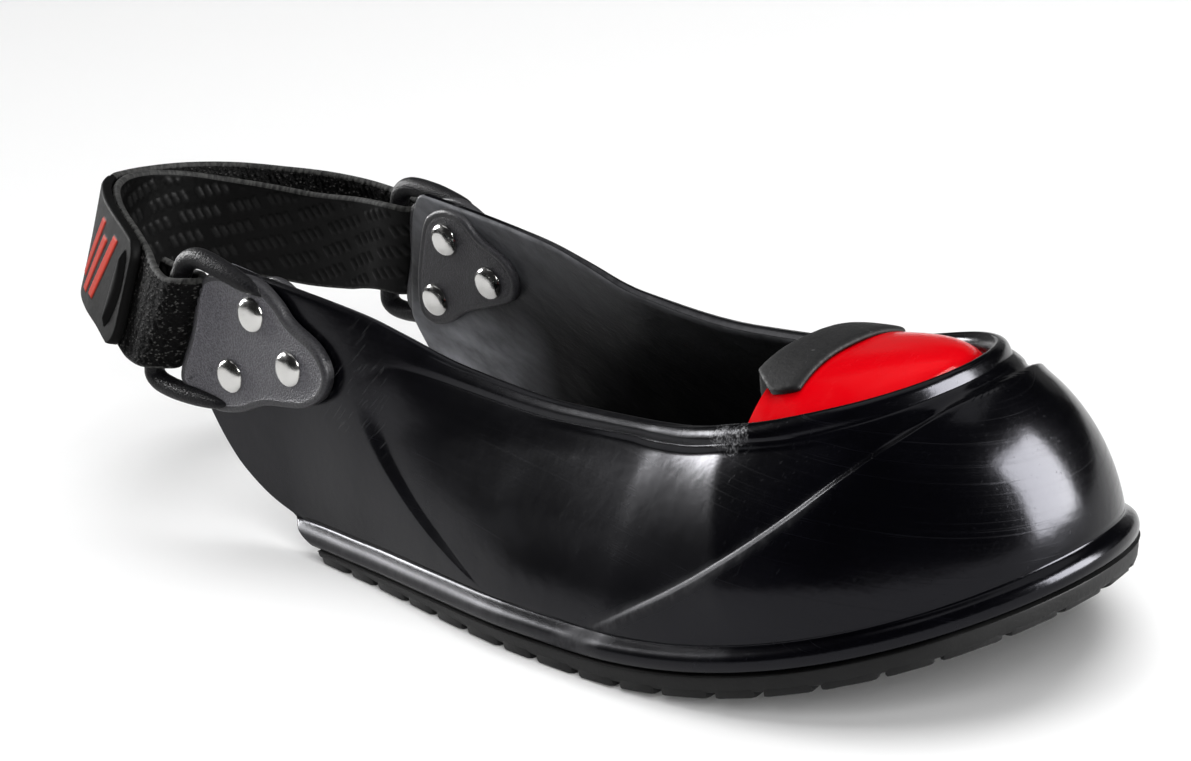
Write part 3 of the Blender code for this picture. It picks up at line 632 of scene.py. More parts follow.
# Form of the last, in millimetres: s runs along the near side to the toe, w from sole to rim
last = {
    "ballX": 16.0,
    "toeX": 112.6,
    "toePower": 2.5,
    "soleRear": -99.0,
    "flatEnd": 6.0,
    "toeSpring": 23.0,
    "springPower": 1.85,
    "sideLean": 2.05,
    "crownPower": 0.8,
    "rimFront": 80.5,
    "rimPower": 3.7,
    "gap": 0.35,
    "wall": 3.0,
}
toeRun = (last["toeX"] - last["ballX"]) * math.pi / 2.0
toeS = last["ballX"] + toeRun
sideRows = columns(
    "x foot",
    (-165.0, 41.2), (-112.5, 40.2), (-80.0, 43.8), (-48.0, 49.4), (-16.0, 54.3), (16.0, 56.3),
)
edgeRows = columns("x height", (-165.0, 3.8), (-99.0, 3.8), (-40.0, 5.0), (20.0, 6.0), (112.6, 6.2))
rimRows = columns(
    "x half z band bead",
    (-165.0, 37.4, 81.5, 24.0, 0.0),
    (-122.0, 37.2, 75.7, 24.0, 0.0),
    (-84.0, 35.6, 70.3, 20.0, 0.0),
    (-77.0, 35.1, 69.0, 16.0, 0.1),
    (-65.0, 34.2, 65.8, 9.0, 0.4),
    (-46.0, 32.7, 60.6, 6.5, 0.9),
    (-9.0, 32.0, 56.6, 7.0, 1.3),
    (24.0, 32.2, 57.2, 7.2, 1.7),
    (42.6, 32.2, 60.1, 7.2, 2.0),
    (66.0, 32.2, 65.7, 6.6, 2.2),
    (80.5, 32.2, 69.2, 4.8, 2.3),
)


def along(rows, column, at):
    return curveAt(rows["x"], rows[column], at)


# Rise of the underside: toe spring times a power of the share of the way past the flat
def spring(x):
    share = np.maximum(x - last["flatEnd"], 0.0) / (last["toeX"] - last["flatEnd"])
    return last["toeSpring"] * share ** last["springPower"]


def toeShare(s):
    return np.sin(np.clip((s - last["ballX"]) / toeRun, 0.0, 1.0) * math.pi / 2.0)


# Half outline: a table along the side, then a superellipse round the toe
def oval(s, front, rows, column, power):
    u = toeShare(s)
    side = np.minimum(s, last["ballX"])
    half = along(rows, column, side) * np.sqrt(np.maximum(1.0 - u ** power, 0.0))
    return side + (front - last["ballX"]) * u, half


def footLine(s):
    x, half = oval(s, last["toeX"], sideRows, "foot", last["toePower"])
    return x, half, spring(x) + along(edgeRows, "height", x) + last["gap"]


def rimLine(s):
    x, half = oval(s, last["rimFront"], rimRows, "half", last["rimPower"])
    return x, half, along(rimRows, "z", x)


# Skin of the last: foot line blended to rim line by a sine up the wall; the toe is a dome
def skinPoint(s, w):
    s, w = np.broadcast_arrays(np.asarray(s, dtype=float), np.asarray(w, dtype=float))
    footX, footHalf, footZ = footLine(s)
    rimX, rimHalf, rimZ = rimLine(s)
    rise = np.sin(w * math.pi / 2.0)
    crown = toeShare(s) ** last["crownPower"]
    lean = (1.0 - crown) * rise ** last["sideLean"] + crown * (1.0 - np.cos(w * math.pi / 2.0))
    x = footX + (rimX - footX) * lean
    y = -(footHalf + (rimHalf - footHalf) * lean)
    return np.stack((x, y, footZ + (rimZ - footZ) * rise), axis=-1)


# Outward direction of the skin, from small steps along it
def skinNormal(s, w):
    stepS, stepW = 0.4, 0.01
    across = skinPoint(np.minimum(s + stepS, toeS), w) - skinPoint(s - stepS, w)
    up = skinPoint(s, np.minimum(w + stepW, 1.0)) - skinPoint(s, np.maximum(w - stepW, 0.0))
    normal = unit(np.cross(across, up))
    normal[..., 1] = np.where(np.broadcast_to(s, normal.shape[:-1]) > toeS - stepS, 0.0, normal[..., 1])
    return unit(normal)


# Half width of the side at a station and height: the same blend, by a power of the rise
def skinHalf(x, z):
    footHalf, footZ = footLine(x)[1:]
    rimHalf, rimZ = rimLine(x)[1:]
    rise = np.clip((z - footZ) / (rimZ - footZ), 0.0, 1.0)
    return footHalf + (rimHalf - footHalf) * rise ** last["sideLean"]


# Point at a distance outside the skin, on the side given by its sign
def onSide(x, z, out, side):
    x, z, out = np.broadcast_arrays(x, z, out)
    return np.stack((x, side * (skinHalf(x, z) + out), z), axis=-1)


# Upper: one wall, with its welt rib, sunk side panel, rim bead and rounded edges; in these forms a pair
# is the middle of a soft step and its width, unless its own comment says otherwise
upperForm = {
    "edgeRound": 1.0,
    "rearDraw": 0.75,  # how far the rear edge is drawn in
    "lineStart": 0.07,
    "weltTop": 7.0,
    "hem": 3.0,
    "heights": 201,
    "panelStart": (3.5, 1.0),  # by the number of the line
    "satinEnd": (0.0, 3.0),  # by the distance past the cap's edge
    "weltDullStart": (1.6, 1.6),  # by the length up the wall
    "weltDullEnd": (4.6, 1.6),
    "weltDullFront": (-15.0, 70.0),  # where it ends along the shoe, by station
    "rimDull": 0.2,
    "rimDullFoot": (1.0, 0.05),  # where it starts, by the rise up the panel
    "rimDullStart": (-30.0, 50.0),  # by station
    "rimDullEnd": (36.0, 12.0),
}
# Ridge that ends the sunk panel: places along it are stations, and heights are shares of the panel's rise
ridgeForm = {
    "panelDepth": 1.2,
    "panelFoot": (0.2, 0.4),
    "width": (1.9, 3.0),  # of the step at the wall's foot, and its gain up to the rim
    "lip": 0.42,
    "lipReach": 1.2,  # in widths of the step
    "lipShares": (0.3, 0.9),  # along the side, and at the toe
    "swell": 0.6,
    "swellReach": 9.0,
    "groove": 0.45,
    "groovePlace": 0.9,  # in widths of the step
    "grooveReach": 0.7,
    "sideShare": 0.4,  # of the ridge's height, along the side
    "start": (4.0, 10.0),
    "sideEnd": (52.0, 36.0),
    "toeStart": (90.0, 60.0),
    "foot": (0.015, 0.05),
    "frontStart": (-5.0, 60.0),
    "rearTop": (0.88, 0.26),
    "frontTop": (0.97, 0.08),
    "dull": 1.5,
    "dullPlace": -0.8,  # above the ridge's curve
    "dullReach": 2.6,
    "dullEnd": (78.0, 40.0),
}
# Crease over the hard cap's rear edge, by the distance past that edge
creaseForm = {
    "x": 38.6,
    "z": 60.0,
    "lean": 0.315,
    "swell": 1.3,
    "run": 25.0,
    "power": 2.4,
    "crest": (0.0, 5.0),
    "fade": (22.0, 36.0),
    "flankFoot": (0.12, 0.3),  # by the rise up the panel
    "flankTop": (1.02, 0.12),
}
weltRows = columns(
    "x proud",
    (0.0, 2.3), (0.9, 2.62), (2.2, 2.75), (3.3, 2.55), (4.2, 1.95), (4.9, 0.95), (5.4, 0.2), (5.9, -0.12),
    (7.0, 0.0),
)
weltShares = (0.26, 0.40, 0.52, 0.62, 0.70, 0.77, 0.84, 1.0)
panelShares = (0.04, 0.16, 0.28, 0.42, 0.56, 0.70, 0.84, 0.97)
ridgeRows = columns(
    "x share",  # the ridge that ends the sunk panel: station, and share of the height there
    (-165.0, -1.0), (0.0, 0.0), (12.5, 0.085), (27.2, 0.180), (36.5, 0.2365), (53.2, 0.337), (70.2, 0.45),
    (89.0, 0.578), (110.3, 0.695), (138.2, 0.80), (167.8, 0.845),
)
beadRows = columns(
    "share proud",
    (1.05, 0.0), (0.98, -0.05), (0.92, 0.06), (0.82, 0.38), (0.66, 0.8), (0.46, 1.0), (0.28, 0.92),
)
lipRows = columns(
    "down bead wall out",  # below the top, then the distance out: shares of bead and wall, and a length
    (1.5, 0.74, 0.0, -0.1), (0.45, 0.5, 0.0, -0.45), (0.0, 0.12, -0.34, 0.0),
    (0.1, 0.0, -0.7, 0.0), (0.8, 0.0, -0.95, 0.0), (2.2, 0.0, -1.0, 0.0),
)
liningShares = (0.9, 0.75, 0.58, 0.4, 0.22, 0.1)
wingRows = columns(
    "x low",
    (-165.0, 68.0), (-142.4, 38.6), (-140.2, 34.4), (-135.2, 26.6), (-130.0, 20.6), (-121.4, 14.4),
    (-116.6, 12.1), (-111.6, 10.2), (-101.5, 4.1), (-96.0, 2.0),
)
lineRows = columns(
    "foot head reach bend parts",
    (-147.5, -128.5, 1.0, 0.0, 26),
    (-111.6, -114.0, 1.0, 0.0, 8),
    (-101.5, -106.0, 1.0, 0.0, 22),
    (-26.0, -80.5, 0.45, 0.8, 14),
    (-23.4, -71.5, 0.45, 0.8, 54),
    (2.5, 126.0, 0.80, -0.25, 10),
    (8.5, 133.0, 0.80, -0.25, 12),
    (12.5, 138.0, 0.80, -0.25, 14),
    (19.0, 148.0, 0.80, -0.25, 76),
)


# Value at a length along each section, read between the two nearest samples of that section
def alongSections(run, values, lengths):
    lengths = np.clip(lengths, 0.0, run[:, -1:])
    k = np.clip((run[:, None, :] <= lengths[:, :, None]).sum(axis=-1) - 1, 0, run.shape[1] - 2)
    low, high = np.take_along_axis(run, k, 1), np.take_along_axis(run, k + 1, 1)
    t = ((lengths - low) / np.maximum(high - low, 1e-9))[..., None]
    first = np.take_along_axis(values, k[..., None], 1)
    second = np.take_along_axis(values, k[..., None] + 1, 1)
    return first * (1.0 - t) + second * t


# Distance in front of the cap's rear edge
def pastCap(points):
    form = creaseForm
    return points[..., 0] - form["x"] - (form["z"] - points[..., 2]) * form["lean"]


# Swell of the wall over the cap's edge: a power of the way up to the edge, full from there on, and dying
# out slowly in front
def capSwell(ahead):
    form = creaseForm
    t = np.clip(1.0 + ahead / form["run"], 0.0, 1.0)
    full = past(ahead, form["crest"])
    return form["swell"] * (t ** form["power"] * (1.0 - full) + full) * (1.0 - past(ahead, form["fade"]))


# Distance above the ridge's curve, square to it, at a share of the wall's height; the slope of the curve
# is its change over one millimetre
def aboveRidge(s, share, perShare):
    slope = along(ridgeRows, "share", s + 0.5) - along(ridgeRows, "share", s - 0.5)
    return (share - along(ridgeRows, "share", s)) * perShare / np.hypot(1.0, slope * perShare)


# Sunk panel: a soft step down across the ridge, at the distance from the ridge's curve; below the step
# the wall swells as a bell curve, broad at the side and narrow at the toe, where a groove runs above it
def panelDepth(s, share, perShare, rise, rear):
    form = ridgeForm
    away = aboveRidge(s, share, perShare)
    width = form["width"][0] + form["width"][1] * np.clip(share, 0.0, 1.0)
    step = softStep(away, width)
    sunk = -form["panelDepth"] * step * rear
    toe = past(s, form["toeStart"])
    below = np.minimum(away, 0.0)
    lipShare = form["lipShares"][0] * (1.0 - past(s, form["sideEnd"])) + form["lipShares"][1] * toe
    lip = form["lip"] * lipShare * np.exp(-(below / (form["lipReach"] * width)) ** 2)
    swell = form["swell"] * (1.0 - toe) * np.exp(-(below / form["swellReach"]) ** 2)
    fromGroove = (away - form["groovePlace"] * width) / (form["grooveReach"] * width)
    groove = -form["groove"] * toe * np.exp(-fromGroove ** 2)
    begin = past(s, form["start"]) * (form["sideShare"] + (1.0 - form["sideShare"]) * toe)
    ridge = ((lip + swell) * (1.0 - step) + groove) * begin * past(rise, form["foot"])
    front = past(s, form["frontStart"])
    rearTop, frontTop = 1.0 - past(rise, form["rearTop"]), 1.0 - past(rise, form["frontTop"])
    return (sunk * past(rise, form["panelFoot"]) + ridge) * (rearTop * (1.0 - front) + frontTop * front)


# Stations of the wall's sections: lines from foot to head, each bent by a parabola, and a straight blend
# from one line to the next
def wallStations(shares):
    start = upperForm["lineStart"]
    keys = {key: lineRows[key][:, None] for key in ("foot", "head", "reach", "bend")}
    t = np.clip((shares - start) / (keys["reach"] - start), 0.0, 1.0)
    paths = keys["foot"] + (keys["head"] - keys["foot"]) * (t + keys["bend"] * t * (1.0 - t))
    paths = np.concatenate((paths, np.full((1, len(shares)), toeS)))
    parts = lineRows["parts"].astype(int)
    rear = 1.0 - np.cos(np.arange(parts[0]) / parts[0] * math.pi / 2.0)  # close sections at the back edge
    u = np.concatenate((rear, 1.0 + spanSteps(parts[1:]), [len(parts)]))
    k = np.minimum(u.astype(int), len(parts) - 1)
    t = (u - k)[:, None]
    return u, (1.0 - t) * paths[k] + t * paths[k + 1]


# Length up each section at which the skin rises past the wing's lower edge
def wallStart(points, run):
    above = points[..., 2] - along(wingRows, "low", points[..., 0])
    first = np.argmax(above > 0.0, axis=1)
    rows = np.arange(len(run))
    prior = np.maximum(first - 1, 0)
    lift = above[rows, first] - above[rows, prior]
    share = np.where(lift > 0.0, -above[rows, prior] / np.where(lift > 0.0, lift, 1.0), 0.0)
    return run[rows, prior] + (run[rows, first] - run[rows, prior]) * share


# Wall section as (length up the skin, distance out of it), once round the wall; its rows are the rounded
# lower edge, welt, panel, bead, lip and lining, and a Catmull-Rom curve joins them
def wallSection(start, hem, top, band, bead):
    wall, edge = last["wall"], upperForm["edgeRound"]
    low, high = start + hem, top - band

    def proud(length):
        return along(weltRows, "proud", length)

    # the lower edge starts in the middle of the wall, and turns up by shares of its rounding
    rows = [(start, -0.5 * wall), (start + 0.15 * edge, proud(start) - 0.5 * edge)]
    rows.append((start + 0.6 * edge, proud(start + 0.6 * edge) - 0.08 * edge))
    rows += [(start + hem * part, proud(start + hem * part)) for part in weltShares]
    rows += [(low + (high - low) * part, 0.0) for part in panelShares]
    rows += [(top - band * part, bead * rise) for part, rise in zip(*beadRows.values())]
    for down, part, deep, out in zip(*lipRows.values()):
        rows.append((top - down, bead * part + wall * deep + out))
    rows += [(start + (top - start) * part, -wall) for part in liningShares]
    rows += [(start + 0.8 * edge, -wall + 0.1 * edge), (start + 0.15 * edge, -wall + 0.5 * edge)]
    keys = np.stack([np.stack(np.broadcast_arrays(*row), axis=-1) for row in rows], axis=1)
    # steps in each span, as far as the lip's top and then down the lining
    outer = [2] * 3 + [3] * len(weltShares) + [9] * len(panelShares) + [4] * len(beadRows["share"]) + [3] * 3
    inner = [3] * 3 + [4] * len(liningShares) + [2] * 2
    return routeAt(keys, spanSteps(outer + inner), closed=True), sum(outer)


# Dull share of the outer face: along the welt's crest, along the side's ridge as a bell curve, and on the
# rim
def dullShare(length, rise, s, away):
    form, ridge = upperForm, ridgeForm
    crest = between(length, form["weltDullStart"], form["weltDullEnd"])
    welt = (1.0 - past(s, form["weltDullFront"])) * crest
    bell = np.exp(-((away - ridge["dullPlace"]) / ridge["dullReach"]) ** 2)
    scuffed = ridge["dull"] * bell * (1.0 - past(s, ridge["dullEnd"]))
    worn = past(rise, form["rimDullFoot"]) * between(s, form["rimDullStart"], form["rimDullEnd"])
    return np.maximum(np.maximum(welt, scuffed), form["rimDull"] * worn)


# Near half of the wall: each section stood on the skin along its normal, with the panel and crease added
def upperPoints():
    form = upperForm
    shares = np.linspace(0.0, 1.0, form["heights"])
    u, station = wallStations(shares)
    points = skinPoint(station, shares)
    normals = skinNormal(station, shares)
    steps = np.linalg.norm(np.diff(points, axis=1), axis=-1)
    run = np.concatenate((np.zeros((len(u), 1)), np.cumsum(steps, axis=1)), axis=1)
    start, top = wallStart(points, run), run[:, -1]
    rimX = rimLine(station[:, -1])[0]
    band, bead = along(rimRows, "band", rimX), along(rimRows, "bead", rimX)
    hem = np.maximum(form["weltTop"] - start, form["hem"])
    section, firstInner = wallSection(start, hem, top, band, bead)
    length = section[..., 0]
    gap = np.linalg.norm(skinPoint(station[:, -1], 1.0) - skinPoint(station[:1, -1], 1.0), axis=-1)
    fromEdge = np.clip(gap / form["edgeRound"], 0.0, 1.0)
    draw = np.sqrt(1.0 - (1.0 - fromEdge) ** 2 * form["rearDraw"])
    middle = 0.5 * last["wall"]
    offset = (section[..., 1] + middle) * draw[:, None] - middle
    at = alongSections(run, points, length)
    out = unit(alongSections(run, normals, length))
    outer = np.arange(section.shape[1]) < firstInner
    low, high = start + hem, top - band
    rise = (length - low[:, None]) / (high - low)[:, None]
    keys = np.broadcast_arrays(station, shares, np.gradient(run, shares, axis=1))
    s, share, perShare = np.moveaxis(alongSections(run, np.stack(keys, axis=-1), length), -1, 0)
    panel = panelDepth(s, share, perShare, rise, past(u, form["panelStart"])[:, None])
    flank = between(rise, creaseForm["flankFoot"], creaseForm["flankTop"])
    near = at + out * (offset + capSwell(pastCap(at)) * flank * outer + panel * outer)[..., None]
    near[-1, :, 1] = 0.0
    satin = 1.0 - past(pastCap(at), form["satinEnd"])
    dull = dullShare(length, rise, s, aboveRidge(s, share, perShare)) * outer
    return near, satin, dull, firstInner


def makeUpper():
    near, satin, dull, firstInner = upperPoints()
    rings = np.concatenate((near, near[-2::-1] * flip))
    values = {"satin": np.concatenate((satin, satin[-2::-1])), "dull": np.concatenate((dull, dull[-2::-1]))}
    count, size = rings.shape[:2]
    inside = (np.tile(np.arange(size), count - 1) >= firstInner).astype(int)
    addPiece("upper_skin", rings.reshape(-1, 3), gridFaces(count, size), (makeRubber(), makeLining()),
             ["upper"], caps=endCaps(count, size), finishOf=inside, values=values)


# Outsole: side band, edge blocks with notches between, and middle bars
soleForm = {
    "lugHeight": 1.6,
    "lugSink": 1.6,
    "lugPitch": 13.2,
    "lugNotch": 1.4,
    "lugSway": 0.8,
    "swayTurn": 2.4,
    "lugReach": 10.5,
    "lugOut": 2.3,
    "endRoom": 0.6,
    "barPitch": 16.0,
    "barLength": 12.0,
    "barWidth": 14.0,
    "barSpace": 17.0,
    "barsEachWay": 5,
    "barsAside": 3,
    "blockFacets": 16,
    "blockPower": 0.35,
    "profileSteps": 3,
    "sections": 300,
    "samples": 600,
}
soleProfile = columns(
    "out low high",  # distance out, then height as lug height times low plus edge height times high
    (-12.0, 1.0, 0.0), (-0.2, 1.0, 0.0), (0.9, 1.0, 0.0), (1.6, 0.98, 0.02), (2.0, 0.9, 0.12),
    (2.3, 0.5, 0.45), (2.4, 0.0, 0.9), (2.2, 0.0, 0.97), (1.6, 0.0, 1.0), (-12.0, 0.0, 1.0),
)
blockRows = columns(
    "run draw",  # share of the way along a block, and of its section there
    (0.0, 0.0), (0.0, 0.8), (0.04, 0.95), (0.12, 1.0), (0.5, 1.0), (0.88, 1.0), (0.96, 0.95), (1.0, 0.8),
    (1.0, 0.0),
)


# Near outline of the sole, moved outwards in plan along its own normal
def soleEdge(s, out):
    step = 0.4
    x, half = footLine(s)[:2]
    nextX, nextHalf = footLine(np.minimum(s + step, toeS))[:2]
    lastX, lastHalf = footLine(s - step)[:2]
    run = np.stack((nextX - lastX, lastHalf - nextHalf), axis=-1)
    run[..., 0] = np.where(s > toeS - step, 0.0, run[..., 0])
    run = unit(run)
    x = np.where(s < last["soleRear"] + step, last["soleRear"], x + run[..., 1] * out)
    return x, np.where(s > toeS - step, 0.0, -half - run[..., 0] * out)


# Rounded blocks: a superellipse in (across, height), carried along each block and drawn in to a point at
# both ends
def roundBlocks(corners, low, high):
    run, draw = blockRows["run"], blockRows["draw"]
    turn = circle(soleForm["blockFacets"])
    power = soleForm["blockPower"]
    across, rise = (np.sign(wave) * np.abs(wave) ** power for wave in (np.cos(turn), np.sin(turn)))
    a = 0.5 + 0.5 * across[None, :] * draw[:, None]
    t = run[:, None]
    first, second, third, fourth = (corners[:, None, None, k] for k in range(4))
    a, t = a[None, ..., None], t[None, ..., None]
    plan = (first * (1.0 - t) + second * t) * (1.0 - a) + (fourth * (1.0 - t) + third * t) * a
    middle, half = 0.5 * (low + high), 0.5 * (high - low)
    z = spring(plan[..., 0]) + middle + half * rise[None, None, :] * draw[None, :, None]
    points = np.concatenate((plan, z[..., None]), axis=-1)
    one = gridFaces(len(run), len(turn))
    starts = np.arange(len(corners)) * len(run) * len(turn)
    return points.reshape(-1, 3), (one[None] + starts[:, None, None]).reshape(-1, 4)


# Plans of the edge blocks: equal runs of the outline, with each notch moved by a sine, from a line outside
# the outline to one inside it
def edgeLugs():
    form = soleForm
    fine = np.linspace(last["soleRear"], toeS, form["samples"])
    x, y = soleEdge(fine, 0.0)
    run = np.concatenate(([0.0], np.cumsum(np.hypot(np.diff(x), np.diff(y)))))
    count = int(run[-1] // form["lugPitch"])
    pitch = run[-1] / count
    starts = np.arange(count) * pitch
    sway = form["lugSway"] * np.sin(np.arange(count + 1) * form["swayTurn"])  # notches stand at uneven steps
    first, second = starts + sway[:-1], starts + pitch + sway[1:]
    ends = np.stack((first + form["lugNotch"] / 2.0, second - form["lugNotch"] / 2.0), axis=-1)
    ends = np.clip(ends, form["endRoom"], run[-1] - form["endRoom"])
    s = np.interp(ends, run, fine)
    outer = np.stack(soleEdge(s, form["lugOut"] * np.ones_like(s)), axis=-1)
    inner = np.stack(soleEdge(s, -form["lugReach"] * np.ones_like(s)), axis=-1)
    corners = np.stack((outer[:, 0], outer[:, 1], inner[:, 1], inner[:, 0]), axis=1)
    return np.concatenate((corners, corners[:, (1, 0, 3, 2)] * (1.0, -1.0)))


# Plans of the middle bars: a grid of rectangles, with as many across as the edge blocks leave room for
def middleBars():
    form = soleForm
    fine = np.linspace(last["soleRear"], toeS, form["samples"])
    x = np.arange(-form["barsEachWay"], form["barsEachWay"] + 1) * form["barPitch"]
    ends = x[:, None] + np.array((-0.5, 0.5)) * form["barLength"]
    s = np.interp(ends, footLine(fine)[0], fine)
    room = footLine(s)[1].min(axis=1) - form["lugReach"] - form["lugNotch"]
    most = ((room - form["barWidth"] / 2.0) // form["barSpace"]).astype(int)
    n = np.arange(-form["barsAside"], form["barsAside"] + 1)
    keep = np.abs(n)[None, :] <= most[:, None]
    y = n[:, None] * form["barSpace"] + np.array((-0.5, 0.5)) * form["barWidth"]
    row, side = np.nonzero(keep)
    lowX, highX, lowY, highY = ends[row, 0], ends[row, 1], y[side, 0], y[side, 1]
    corners = ((lowX, lowY), (highX, lowY), (highX, highY), (lowX, highY))
    return np.stack([np.stack(corner, axis=-1) for corner in corners], axis=1)


# Side band: the profile moved out along the outline's normal, and stretched to the edge's height
def makeOutsole():
    form = soleForm
    s = np.linspace(last["soleRear"], toeS, form["sections"])
    height = along(edgeRows, "height", footLine(s)[0])
    keys = np.column_stack([soleProfile[key] for key in ("out", "low", "high")])
    steps = [1] + [form["profileSteps"]] * (len(keys) - 3) + [1]
    profile = routeAt(keys, np.append(spanSteps(steps), len(steps)))
    x, y = soleEdge(s[:, None], profile[None, :, 0])
    z = spring(footLine(s)[0])[:, None] + profile[:, 1] * form["lugHeight"] + profile[:, 2] * height[:, None]
    near = np.stack((x, np.minimum(y, 0.0), z), axis=-1)
    rings = np.concatenate((near, near[:, ::-1] * flip), axis=1)
    count, size = rings.shape[:2]
    body = (rings.reshape(-1, 3), gridFaces(count, size))
    plans = np.concatenate((edgeLugs(), middleBars()))
    blocks = roundBlocks(plans, 0.0, form["lugHeight"] + form["lugSink"])
    points, faces = joinGrids((body, blocks))
    addPiece("outsole_tread", points, faces, (makeTread(),), ["outsole"],
             caps=(tuple(range(size))[::-1],), merge=poleWeld, sharp=40.0)


# Toe cap: shell inside the toe's skin, its crown an arch that falls off towards the front
capForm = {
    "rear": 40.5,
    "gap": 0.4,
    "thick": 2.0,
    "crown": 13.1,
    "fall": 0.27,
    "arch": 2.9,
    "low": 0.14,
    "leastHalf": 0.01,
    "heart": (60.0, 0.0, 20.0),  # a point inside the shell
    "sections": 90,
    "wallRows": 40,
    "crownRows": 90,
}


# Station of a place along the rim: the arcsine of its share of the way round the toe
def rimStation(x):
    share = np.clip((x - last["ballX"]) / (last["rimFront"] - last["ballX"]), 0.0, 1.0)
    return last["ballX"] + toeRun * np.arcsin(share) * 2.0 / math.pi


# Crown point: 1 minus a power of the distance from the middle, times a height that falls as a power
# of the way to the front; above lifts it along the arch's normal
def capPoint(x, across, above):
    x, across, above = np.broadcast_arrays(x, across, above)
    s = rimStation(x)
    edge = skinPoint(s, 1.0) - (last["wall"] + capForm["gap"]) * skinNormal(s, np.ones_like(s))
    share = np.maximum((last["rimFront"] - x) / (last["rimFront"] - capForm["rear"]), 0.0)
    crown = capForm["crown"] * share ** capForm["fall"]
    half = np.maximum(-edge[..., 1], capForm["leastHalf"])
    aside = 1.0 - 2.0 * across
    slope = crown * capForm["arch"] * np.sign(aside) * np.abs(aside) ** (capForm["arch"] - 1.0) / half
    y = -half * aside - above * slope / np.hypot(1.0, slope)
    z = edge[..., 2] + crown * (1.0 - np.abs(aside) ** capForm["arch"]) + above / np.hypot(1.0, slope)
    return np.stack((edge[..., 0] + x - rimLine(s)[0], y, z), axis=-1)


# Shell: the skin moved in past the wall, closed over by the crown, and a second face inside it
def makeCap():
    form = capForm
    forward = np.sin(np.linspace(0.0, 1.0, form["sections"]) * math.pi / 2.0)
    s = rimStation(form["rear"] + (last["rimFront"] - form["rear"]) * forward)[:, None]
    heights = np.linspace(form["low"], 1.0, form["wallRows"])[None, :]
    s, heights = np.broadcast_arrays(s, heights)
    near = skinPoint(s, heights) - (last["wall"] + form["gap"]) * skinNormal(s, heights)
    near[-1, :, 1] = 0.0
    across = np.linspace(0.0, 1.0, form["crownRows"] + 2)[None, 1:-1]
    top = capPoint(rimLine(s[:, :1])[0], across, 0.0)
    outer = np.concatenate((near, top, near[:, ::-1] * flip), axis=1)
    normal = unit(np.cross(np.gradient(outer, axis=0), np.gradient(outer, axis=1)))
    normal = normal * np.sign(np.sum(normal * (outer - form["heart"]), axis=-1, keepdims=True))
    normal[-3:] = normal[-4]  # the front sections crowd too close to give their own
    inner = outer - normal * form["thick"]
    inner[-1, :, 1] = 0.0
    rings = np.concatenate((outer, inner[:, ::-1]), axis=1)
    count, size = rings.shape[:2]
    faces = np.concatenate((gridFaces(count, size), foldFaces(size)))
    addPiece("toe_cap_shell", rings.reshape(-1, 3), faces, (makeRed(),), ["toe_cap"],
             merge=poleWeld, sharp=40.0)


# Edging strip: a hooked section carried over the cap's rear edge, drawn in as part of an ellipse at its ends
edgingForm = {
    "ends": (0.130, 0.80),
    "endRun": 0.02,
    "endDraw": 0.6,
    "endMiddle": (1.5, 1.2),
    "endLift": 0.5,
    "rearShort": 0.085,  # the near end slants, and is shorter at the strip's rear
    "rearSlope": (3.0, 8.0),  # where the shortening begins, and the length over which it grows
    "farDrop": 0.9,
    "farStart": (0.65, 0.4),  # middle and width of a soft step across the cap
    "profileSteps": 4,
    "sections": 110,
}
edgingRows = columns(
    "forward above",
    (-5.0, -6.6), (-5.4, -3.4), (-5.3, -0.2), (-4.8, 1.5), (-3.2, 2.3), (0.0, 2.5), (4.0, 2.4), (7.8, 2.1),
    (9.5, 1.6), (10.1, 0.9), (9.6, 0.3), (6.6, 0.15), (2.0, 0.15), (-0.2, 0.15), (-0.45, -1.0), (-0.5, -6.2),
    (-1.7, -7.2), (-3.6, -7.3),
)


def makeEdgingStrip():
    form = edgingForm
    keys = np.column_stack((edgingRows["forward"], edgingRows["above"]))
    section = routeAt(keys, spanSteps([form["profileSteps"]] * len(keys)), closed=True)
    t = np.linspace(0.0, 1.0, form["sections"])[:, None]
    fromEnd = np.clip(np.minimum(t, 1.0 - t) / form["endRun"], 0.0, 1.0)
    draw = np.sqrt(1.0 - (1.0 - fromEnd) ** 2 * form["endDraw"])
    middle = form["endMiddle"]
    forward = middle[0] + (section[:, 0] - middle[0]) * draw
    above = section[:, 1] + (middle[1] - section[:, 1]) * (1.0 - draw) * form["endLift"]
    low, high = form["ends"]
    front, slope = form["rearSlope"]
    rearShort = form["rearShort"] * np.clip((front - forward) / slope, 0.0, 1.0)
    across = low + (high - low) * t + rearShort * (1.0 - t)
    rings = capPoint(capForm["rear"] + forward, across, np.maximum(above, 0.0))
    rings[..., 2] += np.minimum(above, 0.0) - form["farDrop"] * past(across, form["farStart"])
    count, size = rings.shape[:2]
    addPiece("edging_strip", rings.reshape(-1, 3), gridFaces(count, size), (makeEdging(),), ["cap_edging"],
             caps=endCaps(count, size), sharp=55.0)


